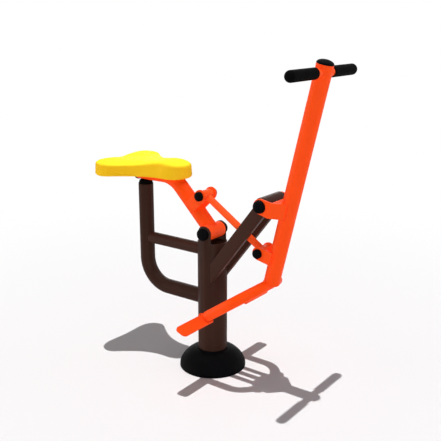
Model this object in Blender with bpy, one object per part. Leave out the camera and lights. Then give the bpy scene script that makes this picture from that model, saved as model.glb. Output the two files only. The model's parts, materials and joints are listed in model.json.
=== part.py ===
"""Outdoor gym rider: a seat and a handle lever that rock together on one ground post.

Metres, +Z up. The origin is the centre of the main post on the ground. +X runs forward to the
handle lever and +Y is the rider's left. The pieces are modelled at rest, with the seat arm down on
its rubber buffer. The seat arm swings about SEAT_PIVOT, the lever about LEVER_PIVOT, and the link
rod joins them at LINK_TOP and LINK_FOOT.
"""

import math

import bmesh
import bpy
from mathutils import Matrix, Vector

MM = 0.001

# Fits
GAP = 0.3 * MM
RUNNING = 0.3 * MM
LINK_PLAY = 4.2 * MM
OVERRUN = 4.0 * MM

# Facets round a turn
POST_SIDE_COUNT = 36
TUBE_SIDE_COUNT = 24
BAR_SIDE_COUNT = 18
SMALL_SIDE_COUNT = 16
COVER_SIDE_COUNT = 36
SCREW_SIDE_COUNT = 10
HEX_SIDE_COUNT = 6
BEND_STEP = math.radians(15.0)
SHARP_EDGE = math.radians(40.0)

# Main post and its pivot ears
POST_RADIUS = 57.15 * MM
POST_WALL = 5.0 * MM
SEAT_PIVOT_Z = 555.0 * MM
EAR_LEDGE = 8.65 * MM
EAR_SLOT_HALF = POST_RADIUS - EAR_LEDGE
EAR_SLOT_DEPTH = 38.0 * MM
EAR_RADIUS = 30.5 * MM
TOP_PLATE_THICK = 5.0 * MM

# Base flange, gussets, anchor bolts and cover
FLANGE_RADIUS = 120.0 * MM
FLANGE_THICK = 12.0 * MM
ANCHOR_COUNT = 4
ANCHOR_CIRCLE_RADIUS = 95.0 * MM
ANCHOR_HOLE_RADIUS = 7.0 * MM
ANCHOR_RADIUS = 6.0 * MM
ANCHOR_STICK_OUT = 28.0 * MM
ANCHOR_NUT_ACROSS = 19.0 * MM
ANCHOR_NUT_THICK = 10.0 * MM
ANCHOR_WASHER_RADIUS = 12.0 * MM
ANCHOR_WASHER_THICK = 2.5 * MM
GUSSET_THICK = 6.0 * MM
GUSSET_HEIGHT = 45.0 * MM
GUSSET_LENGTH = 34.0 * MM
GUSSET_NOSE = 8.0 * MM
COVER_CLEAR = 8.0 * MM
COVER_WALL = 3.0 * MM
COVER_RADIUS = FLANGE_RADIUS + COVER_CLEAR + COVER_WALL
COVER_HEIGHT = 76.0 * MM
COVER_SKIRT = 8.0 * MM
COVER_FULLNESS = 1.6
COVER_DOME_STEPS = 7
COVER_LINING_STEPS = 3

# Rear stop frame, brace and buffer
STOP_X = -335.6 * MM
STOP_TOP_Z = 698.0 * MM
STOP_FOOT_Z = 280.0 * MM
STOP_RADIUS = 30.0 * MM
STOP_WALL = 3.0 * MM
STOP_BEND = 110.0 * MM
BRACE_Z = 475.0 * MM
BRACE_RADIUS = 23.5 * MM
BRACE_WALL = 2.5 * MM
BUFFER_BASE_RADIUS = 29.5 * MM
BUFFER_TOP_RADIUS = 21.0 * MM
BUFFER_STEM_LENGTH = 25.0 * MM
BUFFER_EDGE = 4.0 * MM

# Front arms and the cross tube at their tips
LEVER_PIVOT_X = 262.0 * MM
LEVER_PIVOT_Z = 706.5 * MM
ARM_SLOPE = math.radians(52.5)
ARM_DEPTH = 50.0 * MM
ARM_THICK = 25.0 * MM
ARM_SETBACK = 29.65 * MM
ARM_INNER_Y = POST_RADIUS - ARM_SETBACK
ARM_WALL = 2.5 * MM
FRONT_TUBE_RADIUS = 30.0 * MM
FRONT_TUBE_WALL = 5.0 * MM
FRONT_TUBE_HALF = 61.0 * MM

# Pivot hardware: seat axle, lever axle and the two link pins
SEAT_AXLE_RADIUS = 12.5 * MM
SEAT_AXLE_END_RADIUS = 10.0 * MM
SEAT_NUT_ACROSS = 30.0 * MM
SEAT_NUT_THICK = 9.0 * MM
SEAT_WASHER_RADIUS = 19.0 * MM
SEAT_WASHER_THICK = 2.0 * MM
LEVER_AXLE_RADIUS = 10.0 * MM
LEVER_NUT_ACROSS = 28.0 * MM
LEVER_NUT_THICK = 10.0 * MM
LEVER_WASHER_RADIUS = 16.5 * MM
LEVER_WASHER_THICK = 2.5 * MM
PIN_RADIUS = 8.0 * MM
PIN_NUT_ACROSS = 22.0 * MM
PIN_NUT_THICK = 8.0 * MM
PIN_WASHER_RADIUS = 12.5 * MM
PIN_WASHER_THICK = 1.5 * MM
THREAD_STICK_OUT = 2.0 * MM

# Black caps over the nuts
SEAT_CAP_RADIUS = 23.5 * MM
SEAT_CAP_COLLAR = 9.0 * MM
SEAT_CAP_DOME = 7.5 * MM
LEVER_CAP_RADIUS = 24.0 * MM
LEVER_CAP_COLLAR = 3.5 * MM
LEVER_CAP_DOME = 18.0 * MM
PIN_CAP_RADIUS = 18.0 * MM
PIN_CAP_COLLAR = 9.0 * MM
PIN_CAP_DOME = 7.0 * MM
CAP_WALL = 2.0 * MM
CAP_STEPS = 3
CAP_LINING_STEPS = 2

# Seat arm
SEAT_ARM_RADIUS = 30.0 * MM
SEAT_ARM_WALL = 3.0 * MM
SEAT_ARM_Z = 745.0 * MM
SEAT_ARM_CORNER_X = -186.0 * MM
SEAT_ARM_REAR_X = -366.0 * MM
SEAT_ARM_BEND = 120.0 * MM
HOUSING_RADIUS = 30.0 * MM
HOUSING_WALL = 5.0 * MM
HOUSING_SHORT = 2.5 * MM
HOUSING_HALF = EAR_SLOT_HALF - HOUSING_SHORT
BUSH_FLANGE_RADIUS = 27.0 * MM
SEAT_BUSH_LENGTH = 22.0 * MM
LEVER_BUSH_LENGTH = 25.0 * MM
PLUG_CAP_DOME = 12.0 * MM
PLUG_CAP_LIP = 3.0 * MM
PLUG_CAP_STEM = 18.0 * MM
ARM_PLUG_LIP = 6.0 * MM

# Seat and its fixing
SEAT_RIM_Z = 744.0 * MM
SEAT_TOP_Z = 799.0 * MM
SEAT_NOSE_X = -117.0 * MM
SEAT_LENGTH = 366.0 * MM
SEAT_HALF_WIDTH = 170.0 * MM
SEAT_CENTRE_X = -340.0 * MM
SEAT_WALL = 5.0 * MM
SEAT_EDGE = 9.0 * MM
SEAT_DRAFT = 2.0 * MM
SEAT_CROWN = 3.0 * MM
SEAT_POINTS_PER_SPAN = 2
SEAT_OUTLINE_SHARES = (
    (0.000, 0.000), (0.010, 0.130), (0.040, 0.262), (0.088, 0.340), (0.160, 0.386),
    (0.240, 0.386), (0.325, 0.402), (0.410, 0.450), (0.500, 0.532), (0.582, 0.636),
    (0.655, 0.750), (0.722, 0.868), (0.775, 0.958), (0.838, 1.000), (0.910, 0.955),
    (0.968, 0.850), (1.000, 0.640), (0.997, 0.330), (0.988, 0.000),
)
SEAT_CROWN_SHARES = ((0.86, 0.80, 0.25), (0.72, 0.92, 0.00), (0.40, 1.00, 0.00))
SEAT_CONTOUR = 10.0 * MM
SEAT_SIDE_RISE_SHARES = (-0.50, -0.50, -0.20, 0.00, 0.10, 0.30, 0.20, -0.40, -0.50, -0.50,
                         -0.50, -0.50, -0.60, -0.70, -0.50, 0.10, 0.40, 0.10, -0.40)
SEAT_EDGE_RISE_SHARES = (-0.10, -0.10, 0.30, 0.60, 1.20, 1.50, 1.00, 0.20, -0.50, -0.70,
                         -0.80, -0.80, -0.50, 0.00, 0.30, 0.45, 0.50, 0.20, -0.40)
SEAT_SPINE_SHARES = (
    (0.000, -0.30), (0.090, 0.50), (0.158, 1.20), (0.227, 1.40), (0.295, 1.20), (0.377, 0.60),
    (0.473, 0.10), (0.610, 0.00), (0.773, -0.20), (0.965, -0.50), (1.000, -0.40),
)
SEAT_EDGE_LOW = 9.0 * MM
SEAT_ROOF_LOW = 3.0 * MM
BRACKET_FRONT_X = -248.0 * MM
BRACKET_REAR_X = -372.0 * MM
BRACKET_HALF_WIDTH = 56.0 * MM
BRACKET_THICK = 5.0 * MM
SEAT_BOLT_INSET = 15.0 * MM
SEAT_BOLT_RADIUS = 4.0 * MM
SEAT_BOLT_ACROSS = 13.0 * MM
SEAT_BOLT_HEAD = 5.5 * MM
SEAT_BOLT_GRIP = 9.0 * MM
SEAT_BOSS_RADIUS = 11.0 * MM

# Link rod and its lugs
LINK_TOP_X = -31.0 * MM
LINK_TOP_Z = 694.0 * MM
LINK_FOOT_X = 234.0 * MM
LINK_FOOT_Z = 520.0 * MM
LINK_RADIUS = 13.5 * MM
LINK_EYE_RADIUS = 19.0 * MM
LINK_EYE_BORE = 14.3 * MM
LUG_RADIUS = 24.5 * MM
LUG_THICK = 9.0 * MM
LUG_SHORT = 8.0 * MM

# Handle lever
LEVER_RADIUS = 30.0 * MM
LEVER_WALL = 3.0 * MM
LEVER_FOOT_X = 270.0 * MM
LEVER_FOOT_Z = 400.0 * MM
LEVER_TOP_X = 457.5 * MM
LEVER_TOP_Z = 1196.5 * MM
HANDLEBAR_BELOW_TOP = 28.3 * MM
HANDLEBAR_RADIUS = 15.5 * MM
HANDLEBAR_WALL = 2.5 * MM
GRIP_RADIUS = 19.5 * MM
GRIP_START_Y = 54.0 * MM
GRIP_END_Y = 223.0 * MM
GRIP_EDGE = 2.5 * MM
GRIP_STEPS = 5

# Fork plates that carry the lever on its axle
FORK_THICK = 10.0 * MM
FORK_WIDTH = 58.0 * MM
FORK_BEND_AHEAD = 38.0 * MM
FORK_TIP_Y = 20.3 * MM
FORK_TIP_SHORT = 1.0 * MM
FORK_WEB_THICK = 5.0 * MM
BUSH_FLANGE_THICK = 2.7 * MM

# Footrest and pedals
FOOTREST_RADIUS = 20.0 * MM
FOOTREST_WALL = 2.5 * MM
FOOTREST_FRONT_X = 262.0 * MM
FOOTREST_FRONT_Z = 398.5 * MM
FOOTREST_SLOPE = math.radians(34.9)
FOOTREST_HALF = 127.0 * MM
FOOTREST_BEND = 112.0 * MM
PEDAL_X = 61.8 * MM
PEDAL_Z = 251.0 * MM
PEDAL_WIDTH = 51.0 * MM
PEDAL_THICK = 10.0 * MM
PEDAL_TILT = math.radians(21.0)
PEDAL_INNER_Y = 108.0 * MM
PEDAL_OUTER_Y = 278.0 * MM
PEDAL_CORNER = 17.0 * MM
PEDAL_EDGE = 2.5 * MM
PEDAL_WALL = 2.0 * MM

# Places worked out from the sizes above
SEAT_PIVOT = Vector((0.0, 0.0, SEAT_PIVOT_Z))
LEVER_PIVOT = Vector((LEVER_PIVOT_X, 0.0, LEVER_PIVOT_Z))
LINK_TOP = Vector((LINK_TOP_X, 0.0, LINK_TOP_Z))
LINK_FOOT = Vector((LINK_FOOT_X, 0.0, LINK_FOOT_Z))
SEAT_ARM_CORNER = Vector((SEAT_ARM_CORNER_X, 0.0, SEAT_ARM_Z))
LEVER_FOOT = Vector((LEVER_FOOT_X, 0.0, LEVER_FOOT_Z))
LEVER_TOP = Vector((LEVER_TOP_X, 0.0, LEVER_TOP_Z))
LEVER_AXIS = (LEVER_TOP - LEVER_FOOT).normalized()
LEVER_AHEAD = Vector((LEVER_AXIS.z, 0.0, -LEVER_AXIS.x))
LEVER_OFFSET = (LEVER_FOOT - LEVER_PIVOT).dot(LEVER_AHEAD)
HANDLEBAR = LEVER_TOP - LEVER_AXIS * HANDLEBAR_BELOW_TOP
SEAT_ARM_AXIS = (SEAT_ARM_CORNER - SEAT_PIVOT).normalized()
LUG_INNER_Y = math.sqrt(SEAT_ARM_RADIUS ** 2 - LUG_SHORT ** 2) + GAP
LUG_OUTER_Y = LUG_INNER_Y + LUG_THICK
LINK_EYE_HALF = LUG_INNER_Y - 2.0 * GAP
FORK_INNER_Y = FRONT_TUBE_HALF + GAP + BUSH_FLANGE_THICK + GAP
FORK_OUTER_Y = FORK_INNER_Y + FORK_THICK
ACROSS = Vector((0.0, 1.0, 0.0))
UP = Vector((0.0, 0.0, 1.0))

# Finishes: colour, roughness and metallic share
FINISHES = {
    "brown_steel": ((0.050, 0.027, 0.020, 1.0), 0.42, 0.0),
    "orange_steel": ((1.000, 0.075, 0.010, 1.0), 0.38, 0.0),
    "bright_steel": ((0.560, 0.570, 0.580, 1.0), 0.30, 1.0),
    "black_plastic": ((0.008, 0.008, 0.009, 1.0), 0.35, 0.0),
    "black_rubber": ((0.012, 0.012, 0.012, 1.0), 0.70, 0.0),
    "yellow_plastic": ((1.000, 0.800, 0.020, 1.0), 0.35, 0.0),
    "pale_nylon": ((0.720, 0.700, 0.640, 1.0), 0.50, 0.0),
}


def clear_scene():
    """Remove whatever the scene holds."""
    for thing in list(bpy.data.objects):
        bpy.data.objects.remove(thing, do_unlink=True)


def finish_material(name):
    """Return the named finish, made the first time that it is asked for."""
    material = bpy.data.materials.get(name)
    if material is None:
        colour, roughness, metallic = FINISHES[name]
        material = bpy.data.materials.new(name)
        material.use_nodes = True
        shader = material.node_tree.nodes["Principled BSDF"]
        shader.inputs["Base Color"].default_value = colour
        shader.inputs["Roughness"].default_value = roughness
        shader.inputs["Metallic"].default_value = metallic
    return material


def pivot_frame(name, place):
    """Add an empty on a joint's axis, for the moving pieces to hang from."""
    empty = bpy.data.objects.new(name, None)
    empty.location = place
    bpy.context.collection.objects.link(empty)
    bpy.context.view_layer.update()
    return empty


def piece(name, shape, finish, carrier=None):
    """Turn a bmesh into a named, finished object, parented to its carrier."""
    mesh = bpy.data.meshes.new(name)
    bmesh.ops.recalc_face_normals(shape, faces=shape.faces)
    shape.to_mesh(mesh)
    shape.free()
    return mesh_piece(name, mesh, finish, carrier)


def mesh_piece(name, mesh, finish, carrier=None):
    """Link a mesh as a piece with its own copy of a finish."""
    mesh.shade_smooth()
    mesh.set_sharp_from_angle(angle=SHARP_EDGE)
    thing = bpy.data.objects.new(name, mesh)
    if finish:
        material = finish_material(finish).copy()
        material.name = name + "_" + finish
        mesh.materials.append(material)
    bpy.context.collection.objects.link(thing)
    if carrier is not None:
        thing.parent = carrier
        thing.matrix_parent_inverse = carrier.matrix_world.inverted()
    return thing


def cutter(name, shape):
    """Turn a bmesh into a hidden wire object that only shapes other pieces."""
    thing = piece(name, shape, None)
    thing.hide_render = True
    thing.display_type = "WIRE"
    return thing


def shaped(thing, operation, *tools):
    """Add an exact Boolean for each tool: DIFFERENCE, INTERSECT or UNION."""
    for tool in tools:
        modifier = thing.modifiers.new(operation.lower() + "_" + tool.name, "BOOLEAN")
        modifier.operation = operation
        modifier.object = tool
        modifier.solver = "EXACT"
    return thing


def rounded(thing, width, segments=2):
    """Round a piece's sharp edges."""
    modifier = thing.modifiers.new("edges", "BEVEL")
    modifier.width = width
    modifier.segments = segments
    modifier.limit_method = "ANGLE"
    modifier.angle_limit = SHARP_EDGE
    return thing


def aligned(origin, axis):
    """Return the matrix that carries local +Z to an axis through a point."""
    return Matrix.Translation(origin) @ axis.to_track_quat("Z", "Y").to_matrix().to_4x4()


def add_rod(shape, start, end, radius, sides=SMALL_SIDE_COUNT):
    """Add a plain round bar between two points."""
    axis = end - start
    matrix = aligned((start + end) / 2.0, axis)
    bmesh.ops.create_cone(shape, cap_ends=True, segments=sides, radius1=radius, radius2=radius,
                          depth=axis.length, matrix=matrix)


def add_block(shape, low, high, matrix=Matrix.Identity(4)):
    """Add a box between two corners, in the matrix's own frame."""
    middle, size = (low + high) / 2.0, high - low
    scale = Matrix.Diagonal((*size, 1.0))
    bmesh.ops.create_cube(shape, size=1.0, matrix=matrix @ Matrix.Translation(middle) @ scale)


def add_turned(shape, profile, origin, axis, sides=SMALL_SIDE_COUNT):
    """Spin a closed profile of (radius, height) points about an axis."""
    matrix = aligned(origin, axis)
    ring = [shape.verts.new(matrix @ Vector((radius, 0.0, height))) for radius, height in profile]
    edges = [shape.edges.new((one, two)) for one, two in zip(ring, ring[1:] + ring[:1])
             if not (profile[ring.index(one)][0] == 0.0 == profile[ring.index(two)][0])]
    centre, turn_axis = matrix.translation, matrix.to_3x3() @ UP
    bmesh.ops.spin(shape, geom=ring + edges, cent=centre, axis=turn_axis, angle=math.tau,
                   steps=sides, use_merge=True)
    bmesh.ops.remove_doubles(shape, verts=shape.verts, dist=GAP / 100.0)


def add_prism(shape, outline, low, high, matrix=Matrix.Identity(4)):
    """Extrude an outline of (x, z) points along Y, in the matrix's own frame."""
    base = [shape.verts.new(matrix @ Vector((x, low, z))) for x, z in outline]
    face = shape.faces.new(base)
    top = bmesh.ops.extrude_face_region(shape, geom=[face])["geom"]
    moved = [part for part in top if isinstance(part, bmesh.types.BMVert)]
    rise = matrix.to_3x3() @ (ACROSS * (high - low))
    bmesh.ops.translate(shape, verts=moved, vec=rise)


def arc(centre_a, centre_b, radius, start, end, steps):
    """Return points along an arc in a plane, ends included."""
    turns = [start + (end - start) * step / steps for step in range(steps + 1)]
    return [(centre_a + radius * math.cos(turn), centre_b + radius * math.sin(turn))
            for turn in turns]


def rounded_route(corners, bend):
    """Return a route through corner points, with each inner corner bent to a radius."""
    route = [corners[0]]
    for before, corner, after in zip(corners, corners[1:], corners[2:]):
        back, ahead = (before - corner).normalized(), (after - corner).normalized()
        half = back.angle(ahead) / 2.0
        centre = corner + (back + ahead).normalized() * (bend / math.sin(half))
        setback = bend / math.tan(half)
        spoke, last_spoke = corner + back * setback - centre, corner + ahead * setback - centre
        axis = spoke.cross(last_spoke).normalized()
        sweep = math.pi - 2.0 * half
        steps = max(2, round(sweep / BEND_STEP))
        route += [centre + Matrix.Rotation(sweep * step / steps, 3, axis) @ spoke
                  for step in range(steps + 1)]
    return route + [corners[-1]]


def pipe(name, route, radius, wall, finish, carrier=None, sides=TUBE_SIDE_COUNT):
    """Sweep a tube along a route and give it its wall; with no wall it is a solid bar."""
    curve = bpy.data.curves.new(name + "_route", "CURVE")
    curve.dimensions = "3D"
    curve.bevel_depth = radius
    curve.bevel_resolution = sides // 2 - 2
    curve.use_fill_caps = not wall
    spline = curve.splines.new("POLY")
    spline.points.add(len(route) - 1)
    for point, place in zip(spline.points, route):
        point.co = (*place, 1.0)
    guide = bpy.data.objects.new(name + "_guide", curve)
    bpy.context.collection.objects.link(guide)
    mesh = bpy.data.meshes.new_from_object(guide.evaluated_get(bpy.context.evaluated_depsgraph_get()))
    bpy.data.objects.remove(guide, do_unlink=True)
    mesh.name = name
    tube = mesh_piece(name, mesh, finish, carrier)
    if wall:
        skin = tube.modifiers.new("wall", "SOLIDIFY")
        skin.thickness = wall
        skin.offset = -1.0
        skin.use_even_offset = True
    return tube


def rod_cutter(name, start, end, radius, sides=TUBE_SIDE_COUNT):
    """Return a hidden round cutter between two points."""
    shape = bmesh.new()
    add_rod(shape, start, end, radius, sides)
    return cutter(name, shape)


def cross_cutter(name, place, half, radius, sides=SMALL_SIDE_COUNT):
    """Return a hidden round cutter that lies across the machine."""
    return rod_cutter(name, place - ACROSS * half, place + ACROSS * half, radius, sides)


def turned_piece(name, profile, origin, axis, finish, carrier=None, sides=SMALL_SIDE_COUNT):
    """Return one turned piece."""
    shape = bmesh.new()
    add_turned(shape, profile, origin, axis, sides)
    return piece(name, shape, finish, carrier)


def lug_outline(centre, root, radius, steps=8):
    """Return a lug's (x, z) outline: round about a centre, with straight sides to its root."""
    along = root - centre
    heading = math.atan2(along.z, along.x)
    points = arc(centre.x, centre.z, radius, heading + math.pi / 2.0,
                 heading + math.pi * 1.5, steps)
    side = Vector((-along.z, 0.0, along.x)).normalized() * radius
    low, high = root - side, root + side
    return points + [(low.x, low.z), (high.x, high.z)]


def washer_profile(radius, bore, thick):
    """Return the profile of a flat ring."""
    return [(bore, 0.0), (radius, 0.0), (radius, thick), (bore, thick)]


def cap_profile(radius, collar, dome, wall):
    """Return the profile of a hollow cap: a straight collar under a dome."""
    outer = [(radius, 0.0)] + dome_points(radius, collar, dome, CAP_STEPS)
    lining = dome_points(radius - wall, collar, dome - wall, CAP_LINING_STEPS)
    return outer + lining[::-1] + [(radius - wall, 0.0)]


def dome_points(radius, base, height, steps, fullness=2.0):
    """Return points up a dome's side, from its rim to its tip; 2 is round and less is flatter."""
    power = 2.0 / fullness
    turns = [math.pi / 2.0 * step / steps for step in range(steps)]
    side = [(radius * math.cos(turn) ** power, base + height * math.sin(turn) ** power)
            for turn in turns]
    return side + [(0.0, base + height)]


def plug_profile(radius, lip, dome, bore, stem):
    """Return the profile of a solid end plug: a dome and lip over a stem."""
    return ([(0.0, -stem), (bore - GAP, -stem), (bore - GAP, 0.0), (radius, 0.0)]
            + dome_points(radius, lip, dome, CAP_STEPS))


def hexagon(name, place, axis, low, high, across):
    """Return a hidden hexagon prism between two heights along an axis."""
    corner = across / 2.0 / math.cos(math.pi / HEX_SIDE_COUNT)
    return rod_cutter(name, place + axis * low, place + axis * high, corner, HEX_SIDE_COUNT)


def pivot_bolt(name, place, seat_y, shank, thread, washer, nut, carrier):
    """Add a pivot bolt with a flanged head on the right, and its flanged nut on the left."""
    washer_radius, washer_thick = washer
    across, nut_thick = nut
    head_y = seat_y + washer_thick
    nut_end = head_y + nut_thick
    shoulder = seat_y - washer_thick
    profile = [(0.0, -head_y), (washer_radius, -head_y), (washer_radius, -seat_y),
               (shank, -seat_y), (shank, shoulder), (thread, shoulder),
               (thread, nut_end + THREAD_STICK_OUT), (0.0, nut_end + THREAD_STICK_OUT)]
    bolt = turned_piece(name, profile, place, ACROSS, "bright_steel", carrier)
    low = seat_y + washer_thick / 2.0
    shaped(bolt, "UNION", hexagon(name + "_head_form", place, -ACROSS, low, nut_end, across))
    nut_shape = hexagon(name + "_nut_form", place, ACROSS, low, nut_end, across)
    bore = thread + RUNNING
    ring = [(radius, seat_y + height) for radius, height
            in washer_profile(washer_radius, thread / 2.0, washer_thick)]
    loose = turned_piece(name + "_nut", ring, place, ACROSS, "bright_steel", carrier)
    shaped(loose, "UNION", nut_shape)
    thread_form = cross_cutter(name + "_thread_form", place, nut_end + OVERRUN, bore)
    shaped(loose, "DIFFERENCE", thread_form)


def cap_pair(name, place, seat_y, profile, carrier):
    """Add a right and a left cap, and return them."""
    return [turned_piece(name + side_name, profile, place + ACROSS * side * seat_y,
                         ACROSS * side, "black_plastic", carrier, SMALL_SIDE_COUNT)
            for side_name, side in (("_right", -1.0), ("_left", 1.0))]


def build_base():
    """Flange with its welded gussets, the anchor bolts and the domed cover."""
    shape = bmesh.new()
    add_rod(shape, Vector(), UP * FLANGE_THICK, FLANGE_RADIUS, COVER_SIDE_COUNT)
    flange = piece("base_flange", shape, "brown_steel")
    seat = FLANGE_THICK + GAP
    washer_top = seat + ANCHOR_WASHER_THICK
    foot = POST_RADIUS + GAP
    sunk = FLANGE_THICK / 2.0
    gusset = [(foot, sunk), (foot + GUSSET_LENGTH, sunk),
              (foot + GUSSET_LENGTH, FLANGE_THICK + GUSSET_NOSE),
              (foot + GUSSET_NOSE, FLANGE_THICK + GUSSET_HEIGHT), (foot, FLANGE_THICK + GUSSET_HEIGHT)]
    for count in range(ANCHOR_COUNT):
        turn = math.tau * count / ANCHOR_COUNT
        place = Matrix.Rotation(turn, 3, "Z") @ Vector((ANCHOR_CIRCLE_RADIUS, 0.0, 0.0))
        number = str(count + 1)
        fin = bmesh.new()
        half_step = Matrix.Rotation(turn + math.pi / ANCHOR_COUNT, 4, "Z")
        add_prism(fin, gusset, -GUSSET_THICK / 2.0, GUSSET_THICK / 2.0, half_step)
        shaped(flange, "UNION", cutter("gusset_form_" + number, fin))
        hole = rod_cutter("anchor_hole_" + number, place - UP * OVERRUN,
                          place + UP * (FLANGE_THICK + OVERRUN), ANCHOR_HOLE_RADIUS)
        shaped(flange, "DIFFERENCE", hole)
        stud = [(0.0, GAP), (ANCHOR_RADIUS, GAP), (ANCHOR_RADIUS, seat), (ANCHOR_WASHER_RADIUS, seat),
                (ANCHOR_WASHER_RADIUS, washer_top), (ANCHOR_RADIUS, washer_top),
                (ANCHOR_RADIUS, FLANGE_THICK + ANCHOR_STICK_OUT),
                (0.0, FLANGE_THICK + ANCHOR_STICK_OUT)]
        bolt = turned_piece("anchor_bolt_" + number, stud, place, UP, "bright_steel", None,
                            HEX_SIDE_COUNT * 2)
        nut = hexagon("anchor_nut_form_" + number, place, UP, washer_top - ANCHOR_WASHER_THICK / 2.0,
                      washer_top + ANCHOR_NUT_THICK, ANCHOR_NUT_ACROSS)
        shaped(bolt, "UNION", nut)
    turned_piece("base_cover", cover_profile(), Vector(), UP, "black_plastic", None, COVER_SIDE_COUNT)


def cover_profile():
    """Return the base cover's profile: a skirt under a swelling dome that closes on the post."""
    bore = POST_RADIUS + GAP
    span, rise = COVER_RADIUS - bore, COVER_HEIGHT - COVER_SKIRT
    outer = dome_points(span, COVER_SKIRT, rise, COVER_DOME_STEPS, COVER_FULLNESS)
    inner = dome_points(span - COVER_WALL, COVER_SKIRT, rise - COVER_WALL, COVER_LINING_STEPS,
                        COVER_FULLNESS)
    shell = [(bore + out, height) for out, height in outer]
    lining = [(bore + out, height) for out, height in inner]
    return ([(COVER_RADIUS, GAP)] + shell + lining[::-1] + [(COVER_RADIUS - COVER_WALL, GAP)])


def build_post():
    """The main post, slotted at its top to leave two ears, and the plate that closes the slot."""
    foot = FLANGE_THICK + GAP
    top = SEAT_PIVOT_Z + EAR_RADIUS
    floor = SEAT_PIVOT_Z - EAR_SLOT_DEPTH
    bore = POST_RADIUS - POST_WALL
    profile = [(bore, foot), (POST_RADIUS, foot), (POST_RADIUS, top), (bore, top)]
    post = turned_piece("main_post", profile, Vector(), UP, "brown_steel", None, POST_SIDE_COUNT)
    reach = POST_RADIUS + OVERRUN
    slot = bmesh.new()
    add_block(slot, Vector((-reach, -EAR_SLOT_HALF, floor)), Vector((reach, EAR_SLOT_HALF, top + OVERRUN)))
    ears = bmesh.new()
    shoulder = SEAT_PIVOT_Z - EAR_SLOT_DEPTH / 2.0
    round_top = arc(0.0, SEAT_PIVOT_Z, EAR_RADIUS, 0.0, math.pi, 12)
    outline = [(-reach, 0.0), (reach, 0.0), (reach, shoulder)] + round_top + [(-reach, shoulder)]
    add_prism(ears, outline, -reach, reach)
    axle_bore = cross_cutter("seat_axle_bore", SEAT_PIVOT, reach, SEAT_AXLE_RADIUS + RUNNING)
    shaped(post, "DIFFERENCE", cutter("ear_slot", slot))
    shaped(post, "INTERSECT", cutter("ear_form", ears))
    shaped(post, "DIFFERENCE", axle_bore)
    shape = bmesh.new()
    plate_top = UP * (floor - GAP)
    add_rod(shape, plate_top - UP * TOP_PLATE_THICK, plate_top, bore - GAP, POST_SIDE_COUNT)
    piece("post_top_plate", shape, "brown_steel")


def build_rear(post_form):
    """The rear stop frame with its brace and its rubber buffer."""
    corners = [Vector((STOP_X, 0.0, STOP_TOP_Z)), Vector((STOP_X, 0.0, STOP_FOOT_Z)),
               Vector((0.0, 0.0, STOP_FOOT_Z))]
    frame = pipe("rear_stop_frame", rounded_route(corners, STOP_BEND), STOP_RADIUS, STOP_WALL,
                 "brown_steel")
    shaped(frame, "DIFFERENCE", post_form)
    upright = rod_cutter("upright_form", Vector((STOP_X, 0.0, STOP_FOOT_Z)),
                         Vector((STOP_X, 0.0, STOP_TOP_Z)), STOP_RADIUS + GAP)
    ends = [Vector((STOP_X, 0.0, BRACE_Z)), Vector((0.0, 0.0, BRACE_Z))]
    brace = pipe("rear_brace", ends, BRACE_RADIUS, BRACE_WALL, "brown_steel", sides=BAR_SIDE_COUNT)
    shaped(brace, "DIFFERENCE", post_form, upright)
    height = SEAT_ARM_Z - SEAT_ARM_RADIUS - GAP - STOP_TOP_Z
    stem = STOP_RADIUS - STOP_WALL - GAP
    profile = [(0.0, -BUFFER_STEM_LENGTH), (stem, -BUFFER_STEM_LENGTH), (stem, GAP),
               (BUFFER_BASE_RADIUS, GAP), (BUFFER_BASE_RADIUS, BUFFER_EDGE),
               (BUFFER_TOP_RADIUS + BUFFER_EDGE, height - BUFFER_EDGE),
               (BUFFER_TOP_RADIUS, height), (0.0, height)]
    turned_piece("stop_buffer", profile, Vector((STOP_X, 0.0, STOP_TOP_Z)), UP, "black_rubber")


def build_front(post_form):
    """The two front arms, the cross tube that they carry and its flanged bushes."""
    half = FRONT_TUBE_HALF
    tube_profile = [(FRONT_TUBE_RADIUS - FRONT_TUBE_WALL, -half), (FRONT_TUBE_RADIUS, -half),
                    (FRONT_TUBE_RADIUS, half), (FRONT_TUBE_RADIUS - FRONT_TUBE_WALL, half)]
    turned_piece("front_pivot_tube", tube_profile, LEVER_PIVOT, ACROSS, "brown_steel", None,
                 TUBE_SIDE_COUNT)
    tube_form = cross_cutter("front_tube_form", LEVER_PIVOT, half + OVERRUN,
                             FRONT_TUBE_RADIUS + GAP, TUBE_SIDE_COUNT)
    along = Vector((math.cos(ARM_SLOPE), 0.0, math.sin(ARM_SLOPE)))
    length = LEVER_PIVOT_X / along.x
    across = Vector((-along.z, 0.0, along.x))
    frame = Matrix((along, ACROSS, across)).transposed().to_4x4()
    frame.translation = LEVER_PIVOT - along * length
    wall = ARM_WALL
    for name, side in (("front_arm_right", -1.0), ("front_arm_left", 1.0)):
        edges = sorted((side * ARM_INNER_Y, side * (ARM_INNER_Y + ARM_THICK)))
        shape, hollow = bmesh.new(), bmesh.new()
        add_block(shape, Vector((0.0, edges[0], -ARM_DEPTH / 2.0)),
                  Vector((length, edges[1], ARM_DEPTH / 2.0)), frame)
        add_block(hollow, Vector((-OVERRUN, edges[0] + wall, wall - ARM_DEPTH / 2.0)),
                  Vector((length + OVERRUN, edges[1] - wall, ARM_DEPTH / 2.0 - wall)), frame)
        arm = rounded(piece(name, shape, "brown_steel"), wall)
        shaped(arm, "DIFFERENCE", cutter(name + "_hollow", hollow), post_form, tube_form)
    bush_pair("front_bush", LEVER_PIVOT, half, FRONT_TUBE_RADIUS - FRONT_TUBE_WALL,
              LEVER_AXLE_RADIUS, LEVER_BUSH_LENGTH, FORK_INNER_Y, None)


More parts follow.
